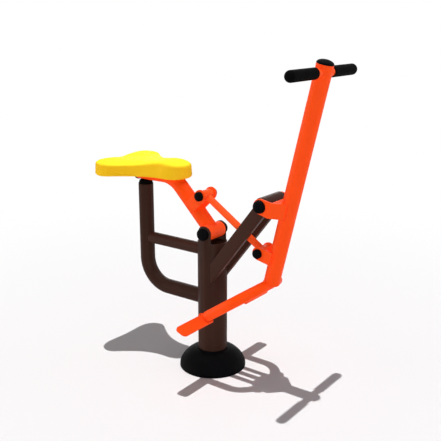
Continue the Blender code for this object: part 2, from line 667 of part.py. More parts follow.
def bush_pair(name, place, end_y, bore, axle, length, next_y, carrier):
    """Add a flanged bush in each end of a pivot tube."""
    inner, outer = axle + RUNNING, bore - GAP
    flange = next_y - end_y - GAP
    profile = [(inner, -length), (outer, -length), (outer, GAP), (BUSH_FLANGE_RADIUS, GAP),
               (BUSH_FLANGE_RADIUS, flange), (inner, flange)]
    for side_name, side in (("_right", -1.0), ("_left", 1.0)):
        turned_piece(name + side_name, profile, place + ACROSS * side * end_y, ACROSS * side,
                     "pale_nylon", carrier)


def build_seat_pivot(post_form):
    """The seat axle through the post's ears, with its nut and caps."""
    pivot_bolt("seat_axle", SEAT_PIVOT, POST_RADIUS + GAP, SEAT_AXLE_RADIUS, SEAT_AXLE_END_RADIUS,
               (SEAT_WASHER_RADIUS, SEAT_WASHER_THICK), (SEAT_NUT_ACROSS, SEAT_NUT_THICK), None)
    sunk = POST_RADIUS - math.sqrt(POST_RADIUS ** 2 - SEAT_CAP_RADIUS ** 2)
    profile = cap_profile(SEAT_CAP_RADIUS, SEAT_CAP_COLLAR + sunk, SEAT_CAP_DOME, CAP_WALL)
    for cap in cap_pair("seat_pivot_cap", SEAT_PIVOT, POST_RADIUS - sunk, profile, None):
        shaped(cap, "DIFFERENCE", post_form)


def build_seat_arm(carrier):
    """The bent seat arm with its pivot housing, bushes and end plug."""
    half = HOUSING_HALF
    profile = [(HOUSING_RADIUS - HOUSING_WALL, -half), (HOUSING_RADIUS, -half),
               (HOUSING_RADIUS, half), (HOUSING_RADIUS - HOUSING_WALL, half)]
    turned_piece("seat_pivot_housing", profile, SEAT_PIVOT, ACROSS, "orange_steel", carrier,
                 TUBE_SIDE_COUNT)
    form = cross_cutter("housing_form", SEAT_PIVOT, half, HOUSING_RADIUS + GAP, TUBE_SIDE_COUNT)
    rear = Vector((SEAT_ARM_REAR_X, 0.0, SEAT_ARM_Z))
    route = rounded_route([SEAT_PIVOT, SEAT_ARM_CORNER, rear], SEAT_ARM_BEND)
    tube = pipe("seat_arm_tube", route, SEAT_ARM_RADIUS, SEAT_ARM_WALL, "orange_steel", carrier)
    shaped(tube, "DIFFERENCE", form)
    bush_pair("seat_bush", SEAT_PIVOT, half, HOUSING_RADIUS - HOUSING_WALL, SEAT_AXLE_RADIUS,
              SEAT_BUSH_LENGTH, EAR_SLOT_HALF, carrier)
    plug = plug_profile(SEAT_ARM_RADIUS, ARM_PLUG_LIP, PLUG_CAP_DOME,
                        SEAT_ARM_RADIUS - SEAT_ARM_WALL, PLUG_CAP_STEM)
    turned_piece("seat_arm_end_cap", plug, rear - Vector((GAP, 0.0, 0.0)), Vector((-1.0, 0.0, 0.0)),
                 "black_plastic", carrier)


def mirrored_point(point):
    """Return a seat outline point on the other side, with the same two rises."""
    return Vector((point.x, -point.y, point.z, point.w))


def smooth_seat_outline():
    """Return the seat's closed outline as (x, y, rise of the side, rise of the top edge) points."""
    keys = [Vector((SEAT_NOSE_X - SEAT_LENGTH * along, SEAT_HALF_WIDTH * out,
                    SEAT_CONTOUR * side_rise, SEAT_CONTOUR * edge_rise))
            for (along, out), side_rise, edge_rise
            in zip(SEAT_OUTLINE_SHARES, SEAT_SIDE_RISE_SHARES, SEAT_EDGE_RISE_SHARES)]
    mirror = [mirrored_point(keys[1])] + keys + [mirrored_point(keys[-2])]
    half = []
    for one, two, three, four in zip(mirror, mirror[1:], mirror[2:], mirror[3:]):
        for step in range(SEAT_POINTS_PER_SPAN):
            t = step / SEAT_POINTS_PER_SPAN
            half.append(0.5 * ((2.0 * two) + (three - one) * t
                               + (2.0 * one - 5.0 * two + 4.0 * three - four) * t * t
                               + (3.0 * two - one - 3.0 * three + four) * t ** 3))
    half.append(keys[-1])
    loop = half + [mirrored_point(point) for point in half[-2:0:-1]]
    if sum(one.x * two.y - two.x * one.y for one, two in zip(loop, loop[1:])) < 0.0:
        loop = loop[::-1]
    return loop


def saddle_rise(place):
    """Return how far the seat's top stands above a plain one, from its middle line outwards."""
    along = (SEAT_NOSE_X - place.x) / SEAT_LENGTH
    height = SEAT_CONTOUR * (1.0 - abs(place.y) / SEAT_HALF_WIDTH)
    for (start, low), (end, high) in zip(SEAT_SPINE_SHARES, SEAT_SPINE_SHARES[1:]):
        if along <= end:
            return height * (low + (high - low) * (along - start) / (end - start))
    return height * SEAT_SPINE_SHARES[-1][1]


def inset_loop(loop, distance):
    """Return a closed outline moved inwards by a distance along its normals."""
    moved = []
    for before, point, after in zip(loop[-1:] + loop[:-1], loop, loop[1:] + loop[:1]):
        tangent = (after - before).normalized()
        moved.append(point - Vector((tangent.y, -tangent.x)) * distance)
    return moved


def seat_levels():
    """Return the seat's outer and inner loops of (x, y, z) points, from the rim upwards."""
    outline = smooth_seat_outline()
    loop = [point.xy for point in outline]
    side_top = SEAT_TOP_Z - SEAT_EDGE - SEAT_CROWN
    outer = [[Vector((*point, SEAT_RIM_Z)) for point in loop]]
    for turn in (0.0, math.pi / 4.0, math.pi / 2.0):
        inset = SEAT_DRAFT + SEAT_EDGE * (1.0 - math.cos(turn))
        share = turn / (math.pi / 2.0)
        outer.append([Vector((*point, side_top + SEAT_EDGE * math.sin(turn)
                              + key.z * (1.0 - share) + key.w * share))
                      for point, key in zip(inset_loop(loop, inset), outline)])
    centre = Vector((SEAT_CENTRE_X, 0.0))
    edge = outer[-1]
    for size_share, rise_share, edge_share in SEAT_CROWN_SHARES:
        crown = SEAT_TOP_Z - SEAT_CROWN * (1.0 - rise_share)
        shrunk = [centre + (point.xy - centre) * size_share for point in edge]
        outer.append([Vector((*point, crown + key.w * edge_share
                              + saddle_rise(point) * (1.0 - edge_share)))
                      for point, key in zip(shrunk, outline)])
    roof_edge = side_top + SEAT_EDGE - SEAT_WALL - SEAT_EDGE_LOW
    roof_loop = inset_loop(loop, SEAT_WALL + SEAT_EDGE)
    size_share = SEAT_CROWN_SHARES[1][0]
    inner = [[Vector((*point, SEAT_RIM_Z)) for point in inset_loop(loop, SEAT_WALL)],
             [Vector((*point, side_top - SEAT_EDGE_LOW))
              for point in inset_loop(loop, SEAT_WALL + SEAT_DRAFT)],
             [Vector((*point, roof_edge)) for point in roof_loop],
             [Vector((*(centre + (point - centre) * size_share), seat_roof()))
              for point in roof_loop]]
    return outer, inner


def seat_roof():
    """Return the height of the flat middle of the seat's underside."""
    return SEAT_TOP_Z - SEAT_CROWN - SEAT_WALL - SEAT_ROOF_LOW


def build_seat(carrier):
    """The moulded seat shell on its bracket, with bosses for four bolts."""
    outer, inner = seat_levels()
    shape = bmesh.new()
    rings = [[shape.verts.new(point) for point in ring] for ring in outer[::-1] + inner]
    for upper, lower in zip(rings, rings[1:]):
        for a, b, c, d in zip(upper, upper[1:] + upper[:1], lower[1:] + lower[:1], lower):
            shape.faces.new((a, b, c, d))
    middle = Vector((SEAT_CENTRE_X, 0.0))
    tip = shape.verts.new((*middle, SEAT_TOP_Z + saddle_rise(middle)))
    for a, b in zip(rings[0], rings[0][1:] + rings[0][:1]):
        shape.faces.new((a, tip, b))
    shape.faces.new(rings[-1])
    seat = piece("seat", shape, "yellow_plastic", carrier)
    plate_low = SEAT_ARM_Z + SEAT_ARM_RADIUS + GAP
    plate_top = plate_low + BRACKET_THICK
    shape = bmesh.new()
    add_block(shape, Vector((BRACKET_REAR_X, -BRACKET_HALF_WIDTH, plate_low)),
              Vector((BRACKET_FRONT_X, BRACKET_HALF_WIDTH, plate_top)))
    bracket = piece("seat_bracket", shape, "bright_steel", carrier)
    bolt_x = (BRACKET_FRONT_X - SEAT_BOLT_INSET, BRACKET_REAR_X + SEAT_BOLT_INSET)
    bolt_y = (SEAT_BOLT_INSET - BRACKET_HALF_WIDTH, BRACKET_HALF_WIDTH - SEAT_BOLT_INSET)
    places = [Vector((x, y, 0.0)) for x in bolt_x for y in bolt_y]
    grip_top = plate_top + SEAT_BOLT_GRIP
    for number, place in enumerate(places, 1):
        boss = rod_cutter("seat_boss_%d" % number, place + UP * (plate_top + GAP),
                          place + UP * (seat_roof() + SEAT_WALL / 2.0), SEAT_BOSS_RADIUS, SCREW_SIDE_COUNT)
        bore = rod_cutter("seat_bore_%d" % number, place + UP * (plate_low - OVERRUN),
                          place + UP * grip_top, SEAT_BOLT_RADIUS + RUNNING, SCREW_SIDE_COUNT)
        shaped(seat, "UNION", boss)
        shaped(seat, "DIFFERENCE", bore)
        shaped(bracket, "DIFFERENCE", bore)
        head_top = plate_low - GAP
        shape = bmesh.new()
        add_rod(shape, place + UP * (head_top - SEAT_BOLT_HEAD / 2.0), place + UP * (grip_top - GAP),
                SEAT_BOLT_RADIUS, SCREW_SIDE_COUNT)
        bolt = piece("seat_bolt_%d" % number, shape, "bright_steel", carrier)
        shaped(bolt, "UNION", hexagon("seat_bolt_head_form_%d" % number, place, UP,
                                      head_top - SEAT_BOLT_HEAD, head_top, SEAT_BOLT_ACROSS))


def build_link_joint(prefix, place, root, carrier):
    """Lugs, pin, nut and caps of one of the link's two pivots."""
    bore = cross_cutter(prefix + "_pin_bore", place, LUG_OUTER_Y + LUG_THICK * 2.0,
                        PIN_RADIUS + RUNNING)
    outline = lug_outline(place, root, LUG_RADIUS)
    for side_name, side in (("_right", -1.0), ("_left", 1.0)):
        low, high = sorted((side * LUG_INNER_Y, side * LUG_OUTER_Y))
        shape = bmesh.new()
        add_prism(shape, outline, low, high)
        shaped(piece(prefix + "_lug" + side_name, shape, "orange_steel", carrier), "DIFFERENCE", bore)
    seat_y = LUG_OUTER_Y + GAP
    pivot_bolt(prefix + "_pin", place, seat_y, PIN_RADIUS, PIN_RADIUS,
               (PIN_WASHER_RADIUS, PIN_WASHER_THICK), (PIN_NUT_ACROSS, PIN_NUT_THICK), carrier)
    profile = cap_profile(PIN_CAP_RADIUS, PIN_CAP_COLLAR, PIN_CAP_DOME, CAP_WALL)
    cap_pair(prefix + "_pin_cap", place, seat_y, profile, carrier)


def build_link(carrier):
    """The link, a rod welded to two eyes; its lower bush is wide, so that it clears its pin."""
    half = LINK_EYE_HALF
    shape = bmesh.new()
    add_rod(shape, LINK_TOP, LINK_FOOT, LINK_RADIUS, BAR_SIDE_COUNT)
    link = piece("link_rod", shape, "orange_steel", carrier)
    for name, place, play in (("upper", LINK_TOP, RUNNING), ("lower", LINK_FOOT, LINK_PLAY)):
        shaped(link, "UNION", cross_cutter("link_eye_form_" + name, place, half, LINK_EYE_RADIUS))
        shaped(link, "DIFFERENCE", cross_cutter("link_bore_" + name, place, half + OVERRUN,
                                                LINK_EYE_BORE))
        proud = half + GAP
        bush = [(PIN_RADIUS + play, -proud), (LINK_EYE_BORE - GAP, -proud),
                (LINK_EYE_BORE - GAP, proud), (PIN_RADIUS + play, proud)]
        turned_piece("link_bush_" + name, bush, place, ACROSS, "pale_nylon", carrier)


def build_lever(carrier):
    """The handle post with its top plug, handlebar and grips."""
    post = pipe("lever_post", [LEVER_FOOT - LEVER_AXIS * LEVER_RADIUS, LEVER_TOP], LEVER_RADIUS,
                LEVER_WALL, "orange_steel", carrier)
    reach = LEVER_RADIUS + OVERRUN
    bar_bore = cross_cutter("handlebar_bore", HANDLEBAR, reach, HANDLEBAR_RADIUS + GAP, BAR_SIDE_COUNT)
    front = Vector((FOOTREST_FRONT_X, 0.0, FOOTREST_FRONT_Z))
    rest_form = pipe("footrest_form", footrest_route(), FOOTREST_RADIUS + GAP, 0.0, None,
                     sides=BAR_SIDE_COUNT)
    rest_form.hide_render = True
    rest_form.display_type = "WIRE"
    below = bmesh.new()
    drop = LEVER_RADIUS * 2.0
    add_block(below, Vector((-drop, -drop, -drop)), Vector((drop, drop, 0.0)),
              Matrix.Translation(front))
    shaped(post, "DIFFERENCE", bar_bore, rest_form, cutter("lever_foot_trim", below))
    plug = plug_profile(LEVER_RADIUS, PLUG_CAP_LIP, PLUG_CAP_DOME, LEVER_RADIUS - LEVER_WALL,
                        HANDLEBAR_BELOW_TOP - HANDLEBAR_RADIUS - LEVER_WALL)
    turned_piece("lever_top_cap", plug, LEVER_TOP + LEVER_AXIS * GAP, LEVER_AXIS, "black_plastic",
                 carrier)
    end_y = GRIP_END_Y - GRIP_RADIUS
    ends = [HANDLEBAR - ACROSS * end_y, HANDLEBAR + ACROSS * end_y]
    pipe("handlebar", ends, HANDLEBAR_RADIUS, HANDLEBAR_WALL, "orange_steel", carrier, BAR_SIDE_COUNT)
    bore, depth = HANDLEBAR_RADIUS + GAP, end_y - GRIP_START_Y + GAP
    length = GRIP_END_Y - GRIP_START_Y
    turns = [math.pi / 2.0 * step / GRIP_STEPS for step in range(GRIP_STEPS)]
    tip = [(GRIP_RADIUS * math.cos(turn), length - GRIP_RADIUS * (1.0 - math.sin(turn)))
           for turn in turns]
    grip = ([(0.0, depth), (bore, depth), (bore, 0.0), (GRIP_RADIUS - GRIP_EDGE, 0.0),
             (GRIP_RADIUS, GRIP_EDGE)] + tip + [(0.0, length)])
    for name, side in (("grip_right", -1.0), ("grip_left", 1.0)):
        turned_piece(name, grip, HANDLEBAR + ACROSS * side * GRIP_START_Y, ACROSS * side,
                     "black_rubber", carrier, BAR_SIDE_COUNT)


def build_fork(carrier):
    """The bent fork plates with their closing webs on the lever axle, its nut and its caps."""
    frame = Matrix((LEVER_AHEAD, ACROSS, LEVER_AXIS)).transposed().to_4x4()
    frame.translation = LEVER_PIVOT
    tip_s = LEVER_OFFSET - FORK_TIP_SHORT
    reach = FORK_OUTER_Y + OVERRUN
    outline = lug_outline(Vector(), Vector((tip_s, 0.0, 0.0)), FORK_WIDTH / 2.0, 12)
    half, edge = FORK_THICK / 2.0, FORK_WIDTH / 2.0
    over = edge + OVERRUN
    corner = Vector((FORK_BEND_AHEAD, FORK_INNER_Y + half))
    tip = Vector((tip_s + FORK_THICK, FORK_TIP_Y))
    heading = (tip - corner).normalized()
    turn = math.atan2(-heading.y, heading.x)
    skew = Vector((half * math.tan(turn / 2.0), half))
    out = Vector((-heading.y, heading.x)) * half
    middle_line = [corner + skew, tip + out, tip - out, corner - skew]
    post_skin = rod_cutter("lever_post_form", LEVER_FOOT, LEVER_TOP, LEVER_RADIUS + GAP)
    bore = cross_cutter("lever_axle_bore", LEVER_PIVOT, FORK_OUTER_Y * 2.0,
                        LEVER_AXLE_RADIUS + RUNNING)
    for name, side in (("fork_plate_right", -1.0), ("fork_plate_left", 1.0)):
        shape, form = bmesh.new(), bmesh.new()
        bent = [(-FORK_WIDTH, FORK_OUTER_Y), *middle_line, (-FORK_WIDTH, FORK_INNER_Y)]
        strip = [shape.verts.new(frame @ Vector((s, side * y, -FORK_WIDTH))) for s, y in bent]
        face = shape.faces.new(strip)
        grown = bmesh.ops.extrude_face_region(shape, geom=[face])["geom"]
        moved = [part for part in grown if isinstance(part, bmesh.types.BMVert)]
        bmesh.ops.translate(shape, verts=moved, vec=LEVER_AXIS * FORK_WIDTH * 2.0)
        plate = piece(name, shape, "orange_steel", carrier)
        webs = bmesh.new()
        web = [(FORK_BEND_AHEAD, GAP / 2.0), (tip.x, GAP / 2.0), tip, corner]
        for low, high in ((-over, FORK_WEB_THICK - edge), (edge - FORK_WEB_THICK, over)):
            lower = [webs.verts.new(frame @ Vector((s, side * y, low))) for s, y in web]
            upper = [webs.verts.new(frame @ Vector((s, side * y, high))) for s, y in web]
            webs.faces.new(lower)
            webs.faces.new(upper[::-1])
            for a, b, c, d in zip(lower, lower[1:] + lower[:1], upper[1:] + upper[:1], upper):
                webs.faces.new((d, c, b, a))
        add_prism(form, outline, -reach, reach, frame)
        shaped(plate, "UNION", cutter(name + "_webs", webs))
        shaped(plate, "INTERSECT", cutter(name + "_form", form))
        shaped(plate, "DIFFERENCE", post_skin, bore)
    seat_y = FORK_OUTER_Y + GAP
    pivot_bolt("lever_axle", LEVER_PIVOT, seat_y, LEVER_AXLE_RADIUS, LEVER_AXLE_RADIUS,
               (LEVER_WASHER_RADIUS, LEVER_WASHER_THICK), (LEVER_NUT_ACROSS, LEVER_NUT_THICK),
               carrier)
    profile = cap_profile(LEVER_CAP_RADIUS, LEVER_CAP_COLLAR, LEVER_CAP_DOME, CAP_WALL)
    cap_pair("lever_pivot_cap", LEVER_PIVOT, seat_y, profile, carrier)


def footrest_route():
    """Return the footrest's centre line, from its right foot round the front to its left."""
    down = Vector((-math.cos(FOOTREST_SLOPE), 0.0, -math.sin(FOOTREST_SLOPE)))
    front = Vector((FOOTREST_FRONT_X, 0.0, FOOTREST_FRONT_Z))
    run = (FOOTREST_FRONT_X - PEDAL_X + PEDAL_WIDTH / 3.0) / -down.x
    left, right = front + ACROSS * FOOTREST_HALF, front - ACROSS * FOOTREST_HALF
    return rounded_route([right + down * run, right, left, left + down * run], FOOTREST_BEND)


def build_footrest(carrier):
    """The bent footrest tube and the two hollow pedals at its ends."""
    tube = pipe("footrest_tube", footrest_route(), FOOTREST_RADIUS, FOOTREST_WALL, "orange_steel",
                carrier, BAR_SIDE_COUNT)
    tilt = Matrix.Translation((PEDAL_X, 0.0, PEDAL_Z)) @ Matrix.Rotation(PEDAL_TILT, 4, "Y")
    half, thick = PEDAL_WIDTH / 2.0, PEDAL_THICK / 2.0
    below = bmesh.new()
    reach = PEDAL_OUTER_Y + OVERRUN
    add_block(below, Vector((-PEDAL_WIDTH * 2.0, -reach, -PEDAL_WIDTH * 2.0)),
              Vector((PEDAL_WIDTH, reach, thick + GAP)), tilt)
    shaped(tube, "DIFFERENCE", cutter("pedal_seat_trim", below))
    flat = Matrix.Rotation(math.pi / 2.0, 4, "X")
    for name, side in (("pedal_right", -1.0), ("pedal_left", 1.0)):
        inner_y, outer_y = side * PEDAL_INNER_Y, side * PEDAL_OUTER_Y
        corner_y = side * (PEDAL_OUTER_Y - PEDAL_CORNER)
        ahead = arc(half - PEDAL_CORNER, corner_y, PEDAL_CORNER, 0.0, side * math.pi / 2.0, 4)
        behind = arc(PEDAL_CORNER - half, corner_y, PEDAL_CORNER, side * math.pi / 2.0,
                     side * math.pi, 4)
        outline = [(half, inner_y)] + ahead + behind + [(-half, inner_y)]
        shape, hollow = bmesh.new(), bmesh.new()
        add_prism(shape, outline, -thick, thick, tilt @ flat)
        edges = sorted((side * (PEDAL_INNER_Y - OVERRUN), outer_y - side * PEDAL_CORNER))
        add_block(hollow, Vector((PEDAL_EDGE + PEDAL_WALL - half, edges[0], PEDAL_WALL - thick)),
                  Vector((half - PEDAL_EDGE - PEDAL_WALL, edges[1], thick - PEDAL_WALL)), tilt)
        pedal = rounded(piece(name, shape, "orange_steel", carrier), PEDAL_EDGE)
        shaped(pedal, "DIFFERENCE", cutter(name + "_hollow", hollow))


def build_rider():
    """Model the whole machine at rest."""
    clear_scene()
    seat_frame = pivot_frame("seat_pivot_frame", SEAT_PIVOT)
    lever_frame = pivot_frame("lever_pivot_frame", LEVER_PIVOT)
    link_frame = pivot_frame("link_pivot_frame", LINK_TOP)
    post_form = rod_cutter("post_form", Vector(), UP * (SEAT_PIVOT_Z + POST_RADIUS),
                           POST_RADIUS + GAP, POST_SIDE_COUNT)
    build_base()
    build_post()
    build_rear(post_form)
    build_front(post_form)
    build_seat_pivot(post_form)
    build_seat_arm(seat_frame)
    build_seat(seat_frame)
    along = (LINK_TOP - SEAT_PIVOT).dot(SEAT_ARM_AXIS)
    arm_foot = SEAT_PIVOT + SEAT_ARM_AXIS * along
    arm_root = arm_foot + (LINK_TOP - arm_foot).normalized() * LUG_SHORT
    build_link_joint("upper", LINK_TOP, arm_root, seat_frame)
    build_link(link_frame)
    build_lever(lever_frame)
    build_fork(lever_frame)
    behind = (LEVER_FOOT - LINK_FOOT).dot(LEVER_AHEAD)
    post_root = LINK_FOOT + LEVER_AHEAD * (behind - LUG_SHORT)
    build_link_joint("lower", LINK_FOOT, post_root, lever_frame)
    build_footrest(lever_frame)


build_rider()
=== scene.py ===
"""Outdoor gym rider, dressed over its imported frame.

One ground post carries everything. A seat arm swings on the post's ears, a handle lever swings on
the cross tube at the tips of two slanting arms, and a link rod joins the two. Sizes are in
millimetres; the origin is the post's centre on the ground, +X runs forward to the lever and +Y is
the rider's left.
"""

from __future__ import annotations

import json
import logging
import math
from abc import ABC, abstractmethod
from dataclasses import dataclass
from enum import Enum
from typing import Callable, Sequence

import bmesh
import bpy
from mathutils import Matrix, Vector

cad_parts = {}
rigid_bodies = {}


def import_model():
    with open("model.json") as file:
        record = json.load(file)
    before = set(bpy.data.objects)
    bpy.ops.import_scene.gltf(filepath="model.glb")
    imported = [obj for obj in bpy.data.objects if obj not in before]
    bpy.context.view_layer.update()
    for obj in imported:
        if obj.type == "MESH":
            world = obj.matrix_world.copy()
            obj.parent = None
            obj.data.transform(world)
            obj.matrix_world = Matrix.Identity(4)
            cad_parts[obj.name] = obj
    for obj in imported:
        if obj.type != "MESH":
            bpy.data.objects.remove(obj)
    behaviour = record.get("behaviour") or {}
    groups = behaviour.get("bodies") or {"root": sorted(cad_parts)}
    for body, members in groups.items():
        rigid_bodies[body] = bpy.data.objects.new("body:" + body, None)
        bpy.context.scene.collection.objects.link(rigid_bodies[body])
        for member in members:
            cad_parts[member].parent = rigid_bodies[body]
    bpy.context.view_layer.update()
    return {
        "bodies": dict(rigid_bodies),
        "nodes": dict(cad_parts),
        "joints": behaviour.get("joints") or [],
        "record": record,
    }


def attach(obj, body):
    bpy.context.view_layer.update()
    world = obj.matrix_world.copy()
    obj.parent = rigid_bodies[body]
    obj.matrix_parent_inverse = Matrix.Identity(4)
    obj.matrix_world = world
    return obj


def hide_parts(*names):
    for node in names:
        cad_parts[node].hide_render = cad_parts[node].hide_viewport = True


LOG = logging.getLogger("gym_rider")
MM = 0.001
ALONG = Vector((1.0, 0.0, 0.0))
ACROSS = Vector((0.0, 1.0, 0.0))
UP = Vector((0.0, 0.0, 1.0))
SHARP = math.radians(38.0)
TINY = 1e-6
QUARTER = math.pi / 2.0
# A plug's stem fits the bore of a 60 mm tube.
STEM = 26.6
WHITE = (1.0, 1.0, 1.0, 1.0)
Thing = bpy.types.Object
Tree = bpy.types.NodeTree
Socket = bpy.types.NodeSocket
Outline = Sequence[tuple[float, float]]


class Slot(Enum):
    """The record's material slots."""

    BROWN_STEEL = "brown_steel"
    ORANGE_STEEL = "orange_steel"
    BRIGHT_STEEL = "bright_steel"
    BLACK_PLASTIC = "black_plastic"
    BLACK_RUBBER = "black_rubber"
    YELLOW_PLASTIC = "yellow_plastic"
    PALE_NYLON = "pale_nylon"


class Body(Enum):
    """The bodies that pieces ride on."""

    FRAME = "frame"
    SEAT_ARM = "seat_arm"
    LEVER = "lever"
    LINK = "link"


class Join(Enum):
    """What a cutter does to a piece."""

    CUT = "DIFFERENCE"
    KEEP = "INTERSECT"


# Finishes


def tone(hex_colour: str, strength: float = 1.0) -> tuple[float, float, float, float]:
    """Turn an sRGB hex colour to linear.

    Args:
        hex_colour: The colour, such as "#ff4a12".
        strength: A factor on its lightness.

    Returns:
        Linear red, green, blue and alpha.
    """
    values = [int(hex_colour[start:start + 2], 16) / 255.0 for start in (1, 3, 5)]
    linear = [value / 12.92 if value <= 0.04045 else ((value + 0.055) / 1.055) ** 2.4
              for value in values]
    return (*(min(1.0, value * strength) for value in linear), 1.0)


def add_node(tree: Tree, kind: str, inputs: dict[str | int, object] | None = None,
             **settings: object) -> bpy.types.Node:
    """Add a node with its settings, values and links.

    Args:
        tree: The node tree.
        kind: The node's type.
        inputs: A value, or the output that it is linked from, for each input.
        settings: The node's own settings.

    Returns:
        The new node.
    """
    node = tree.nodes.new(kind)
    for name, value in settings.items():
        setattr(node, name, value)
    for socket, value in (inputs or {}).items():
        if isinstance(value, Socket):
            tree.links.new(value, node.inputs[socket])
        else:
            node.inputs[socket].default_value = value
    return node


def per_metre(size: float) -> float:
    """Return the pattern scale that draws features of a size in millimetres."""
    return 1.0 / (size * MM)


class Graph:
    """A material's nodes, with the steps that its finish is built from."""

    def __init__(self, tree: Tree) -> None:
        """Take the piece's own places and directions.

        Args:
            tree: The material's node tree.
        """
        self.tree = tree
        outputs = add_node(tree, "ShaderNodeTexCoord").outputs
        self.place, self.facing = outputs["Object"], outputs["Normal"]

    def noise(self, size: float, detail: float = 2.0) -> Socket:
        """Return noise whose features have a size in millimetres."""
        values = {"Vector": self.place, "Scale": per_metre(size), "Detail": detail}
        return add_node(self.tree, "ShaderNodeTexNoise", values).outputs["Fac"]

    def span(self, value: Socket, low: float, high: float, start: float = 0.3,
             end: float = 0.7) -> Socket:
        """Return a value spread from one span to another."""
        values = {"Value": value, "From Min": start, "From Max": end, "To Min": low, "To Max": high}
        return add_node(self.tree, "ShaderNodeMapRange", values).outputs["Result"]

    def blend(self, share: Socket, one: object, other: object) -> Socket:
        """Return one colour mixed with another by a share."""
        return add_node(self.tree, "ShaderNodeMix", {"Factor": share, "A": one, "B": other},
                        data_type="RGBA").outputs["Result"]

    def worn(self, colour: Socket, edge: str, share: float) -> Socket:
        """Return a colour with a share of another on the piece's outer edges.

        Args:
            colour: The colour.
            edge: The edges' colour, as hex.
            share: How much of it shows.

        Returns:
            The mixed colour.
        """
        point = add_node(self.tree, "ShaderNodeNewGeometry").outputs["Pointiness"]
        wear = add_node(self.tree, "ShaderNodeMath",
                        {0: self.span(point, 0.0, 1.0, 0.515, 0.60), 1: share},
                        operation="MULTIPLY").outputs["Value"]
        return self.blend(wear, colour, tone(edge))

    def bump(self, height: Socket, strength: float, depth: float) -> bpy.types.Node:
        """Return a bump node for a height whose depth is in millimetres."""
        return add_node(self.tree, "ShaderNodeBump",
                        {"Strength": strength, "Distance": depth * MM, "Height": height})


@dataclass(frozen=True)
class Finish(ABC):
    """A finish, made into one material the first time that it is used."""

    name: str
    slot: Slot
    colour: str
    drift: str
    roughness: float
    specular: float
    metallic: float = 0.0

    def material(self) -> bpy.types.Material:
        """Return the finish's material.

        Returns:
            The material, which every piece with this finish shares.
        """
        known = bpy.data.materials.get(self.name)
        if known is not None:
            return known
        made = bpy.data.materials.new(self.name)
        made.use_nodes = True
        tree = made.node_tree
        inputs = tree.nodes["Principled BSDF"].inputs
        inputs["Specular IOR Level"].default_value = self.specular
        inputs["Metallic"].default_value = self.metallic
        for name, layer in zip(("Base Color", "Roughness", "Normal"), self.layers(Graph(tree))):
            tree.links.new(layer, inputs[name])
        return made

    def clouded(self, graph: Graph, size: float, detail: float) -> Socket:
        """Return the finish's colour, which drifts over a size in millimetres."""
        share = graph.span(graph.noise(size, detail), 0.0, 1.0)
        return graph.blend(share, tone(self.colour), tone(self.drift))

    def sheen(self, graph: Graph, size: float, less: float, more: float) -> Socket:
        """Return the finish's roughness, which varies over a size in millimetres."""
        return graph.span(graph.noise(size, 3.0), self.roughness - less, self.roughness + more)

    @abstractmethod
    def layers(self, graph: Graph) -> tuple[Socket, Socket, Socket]:
        """Build the finish's own nodes, and return its colour, roughness and normal."""


@dataclass(frozen=True)
class PowderCoat(Finish):
    """Powder-coated steel, sprayed and baked.

    The eye sees an even, half-gloss coat with a fine orange peel. It is a little paler where it
    thins over edges, and drifts slightly in tone along a tube.
    """

    edge: str = "#ffffff"
    peel: float = 0.10
    ripple: float = 0.0

    def layers(self, graph: Graph) -> tuple[Socket, Socket, Socket]:
        """Build the coat: tone drift, edge wear, sheen and orange peel.

        Args:
            graph: The material's nodes.

        Returns:
            Its colour, roughness and normal.
        """
        grain = graph.span(graph.noise(1.2, 1.0), 0.0, 0.22)
        colour = graph.blend(grain, self.clouded(graph, 140.0, 2.0), tone(self.colour, 0.72))
        # Real orange peel is about 1 mm, and is drawn at 2.2 mm so that it shows.
        bump = graph.bump(graph.noise(2.2, 1.0), self.peel, 0.6)
        if self.ripple:
            # Weld ripples lie about 3 mm apart.
            skin = bump.outputs["Normal"]
            bump = graph.bump(graph.noise(3.0, 0.0), self.ripple, 1.5)
            graph.tree.links.new(skin, bump.inputs["Normal"])
        return (graph.worn(colour, self.edge, 0.30), self.sheen(graph, 35.0, 0.05, 0.05),
                bump.outputs["Normal"])


@dataclass(frozen=True)
class Moulding(Finish):
    """Moulded plastic or rubber.

    The eye sees the mould's fine grain, faint flow clouding, and edges that are rubbed a little
    paler and smoother.
    """

    edge: str = "#ffffff"
    grain: float = 1.5
    depth: float = 0.12
    wear: float = 0.25
    # A colour painted on upward faces as light from above, or empty for none.
    painted_top_light: str = ""

    def layers(self, graph: Graph) -> tuple[Socket, Socket, Socket]:
        """Build the moulding: clouding, painted top light, rubbed edges, sheen and grain.

        Args:
            graph: The material's nodes.

        Returns:
            Its colour, roughness and normal.
        """
        colour = self.clouded(graph, 60.0, 3.0)
        if self.painted_top_light:
            # Painted light: faces that point up, in the piece's own directions, are painted paler.
            way = add_node(graph.tree, "ShaderNodeSeparateXYZ", {"Vector": graph.facing})
            share = graph.span(way.outputs["Z"], 0.0, 1.0, 0.35, 0.92)
            colour = graph.blend(share, colour, tone(self.painted_top_light))
        # Mould grain is about half a millimetre, and is drawn coarser so that it shows.
        cells = add_node(graph.tree, "ShaderNodeTexVoronoi",
                         {"Vector": graph.place, "Scale": per_metre(self.grain)})
        bump = graph.bump(cells.outputs["Distance"], self.depth, 0.4)
        return (graph.worn(colour, self.edge, self.wear), self.sheen(graph, 22.0, 0.06, 0.06),
                bump.outputs["Normal"])


@dataclass(frozen=True)
class ZincPlate(Finish):
    """Zinc-plated steel hardware.

    The eye sees a cool, softly mottled metal with fine turning lines.
    """

    metallic: float = 1.0

    def layers(self, graph: Graph) -> tuple[Socket, Socket, Socket]:
        """Build the plating: mottled tone, mottled sheen and fine scratches.

        Args:
            graph: The material's nodes.

        Returns:
            Its colour, roughness and normal.
        """
        bump = graph.bump(graph.noise(0.8, 2.0), 0.15, 0.2)
        return (self.clouded(graph, 5.0, 4.0), self.sheen(graph, 3.0, 0.08, 0.12),
                bump.outputs["Normal"])


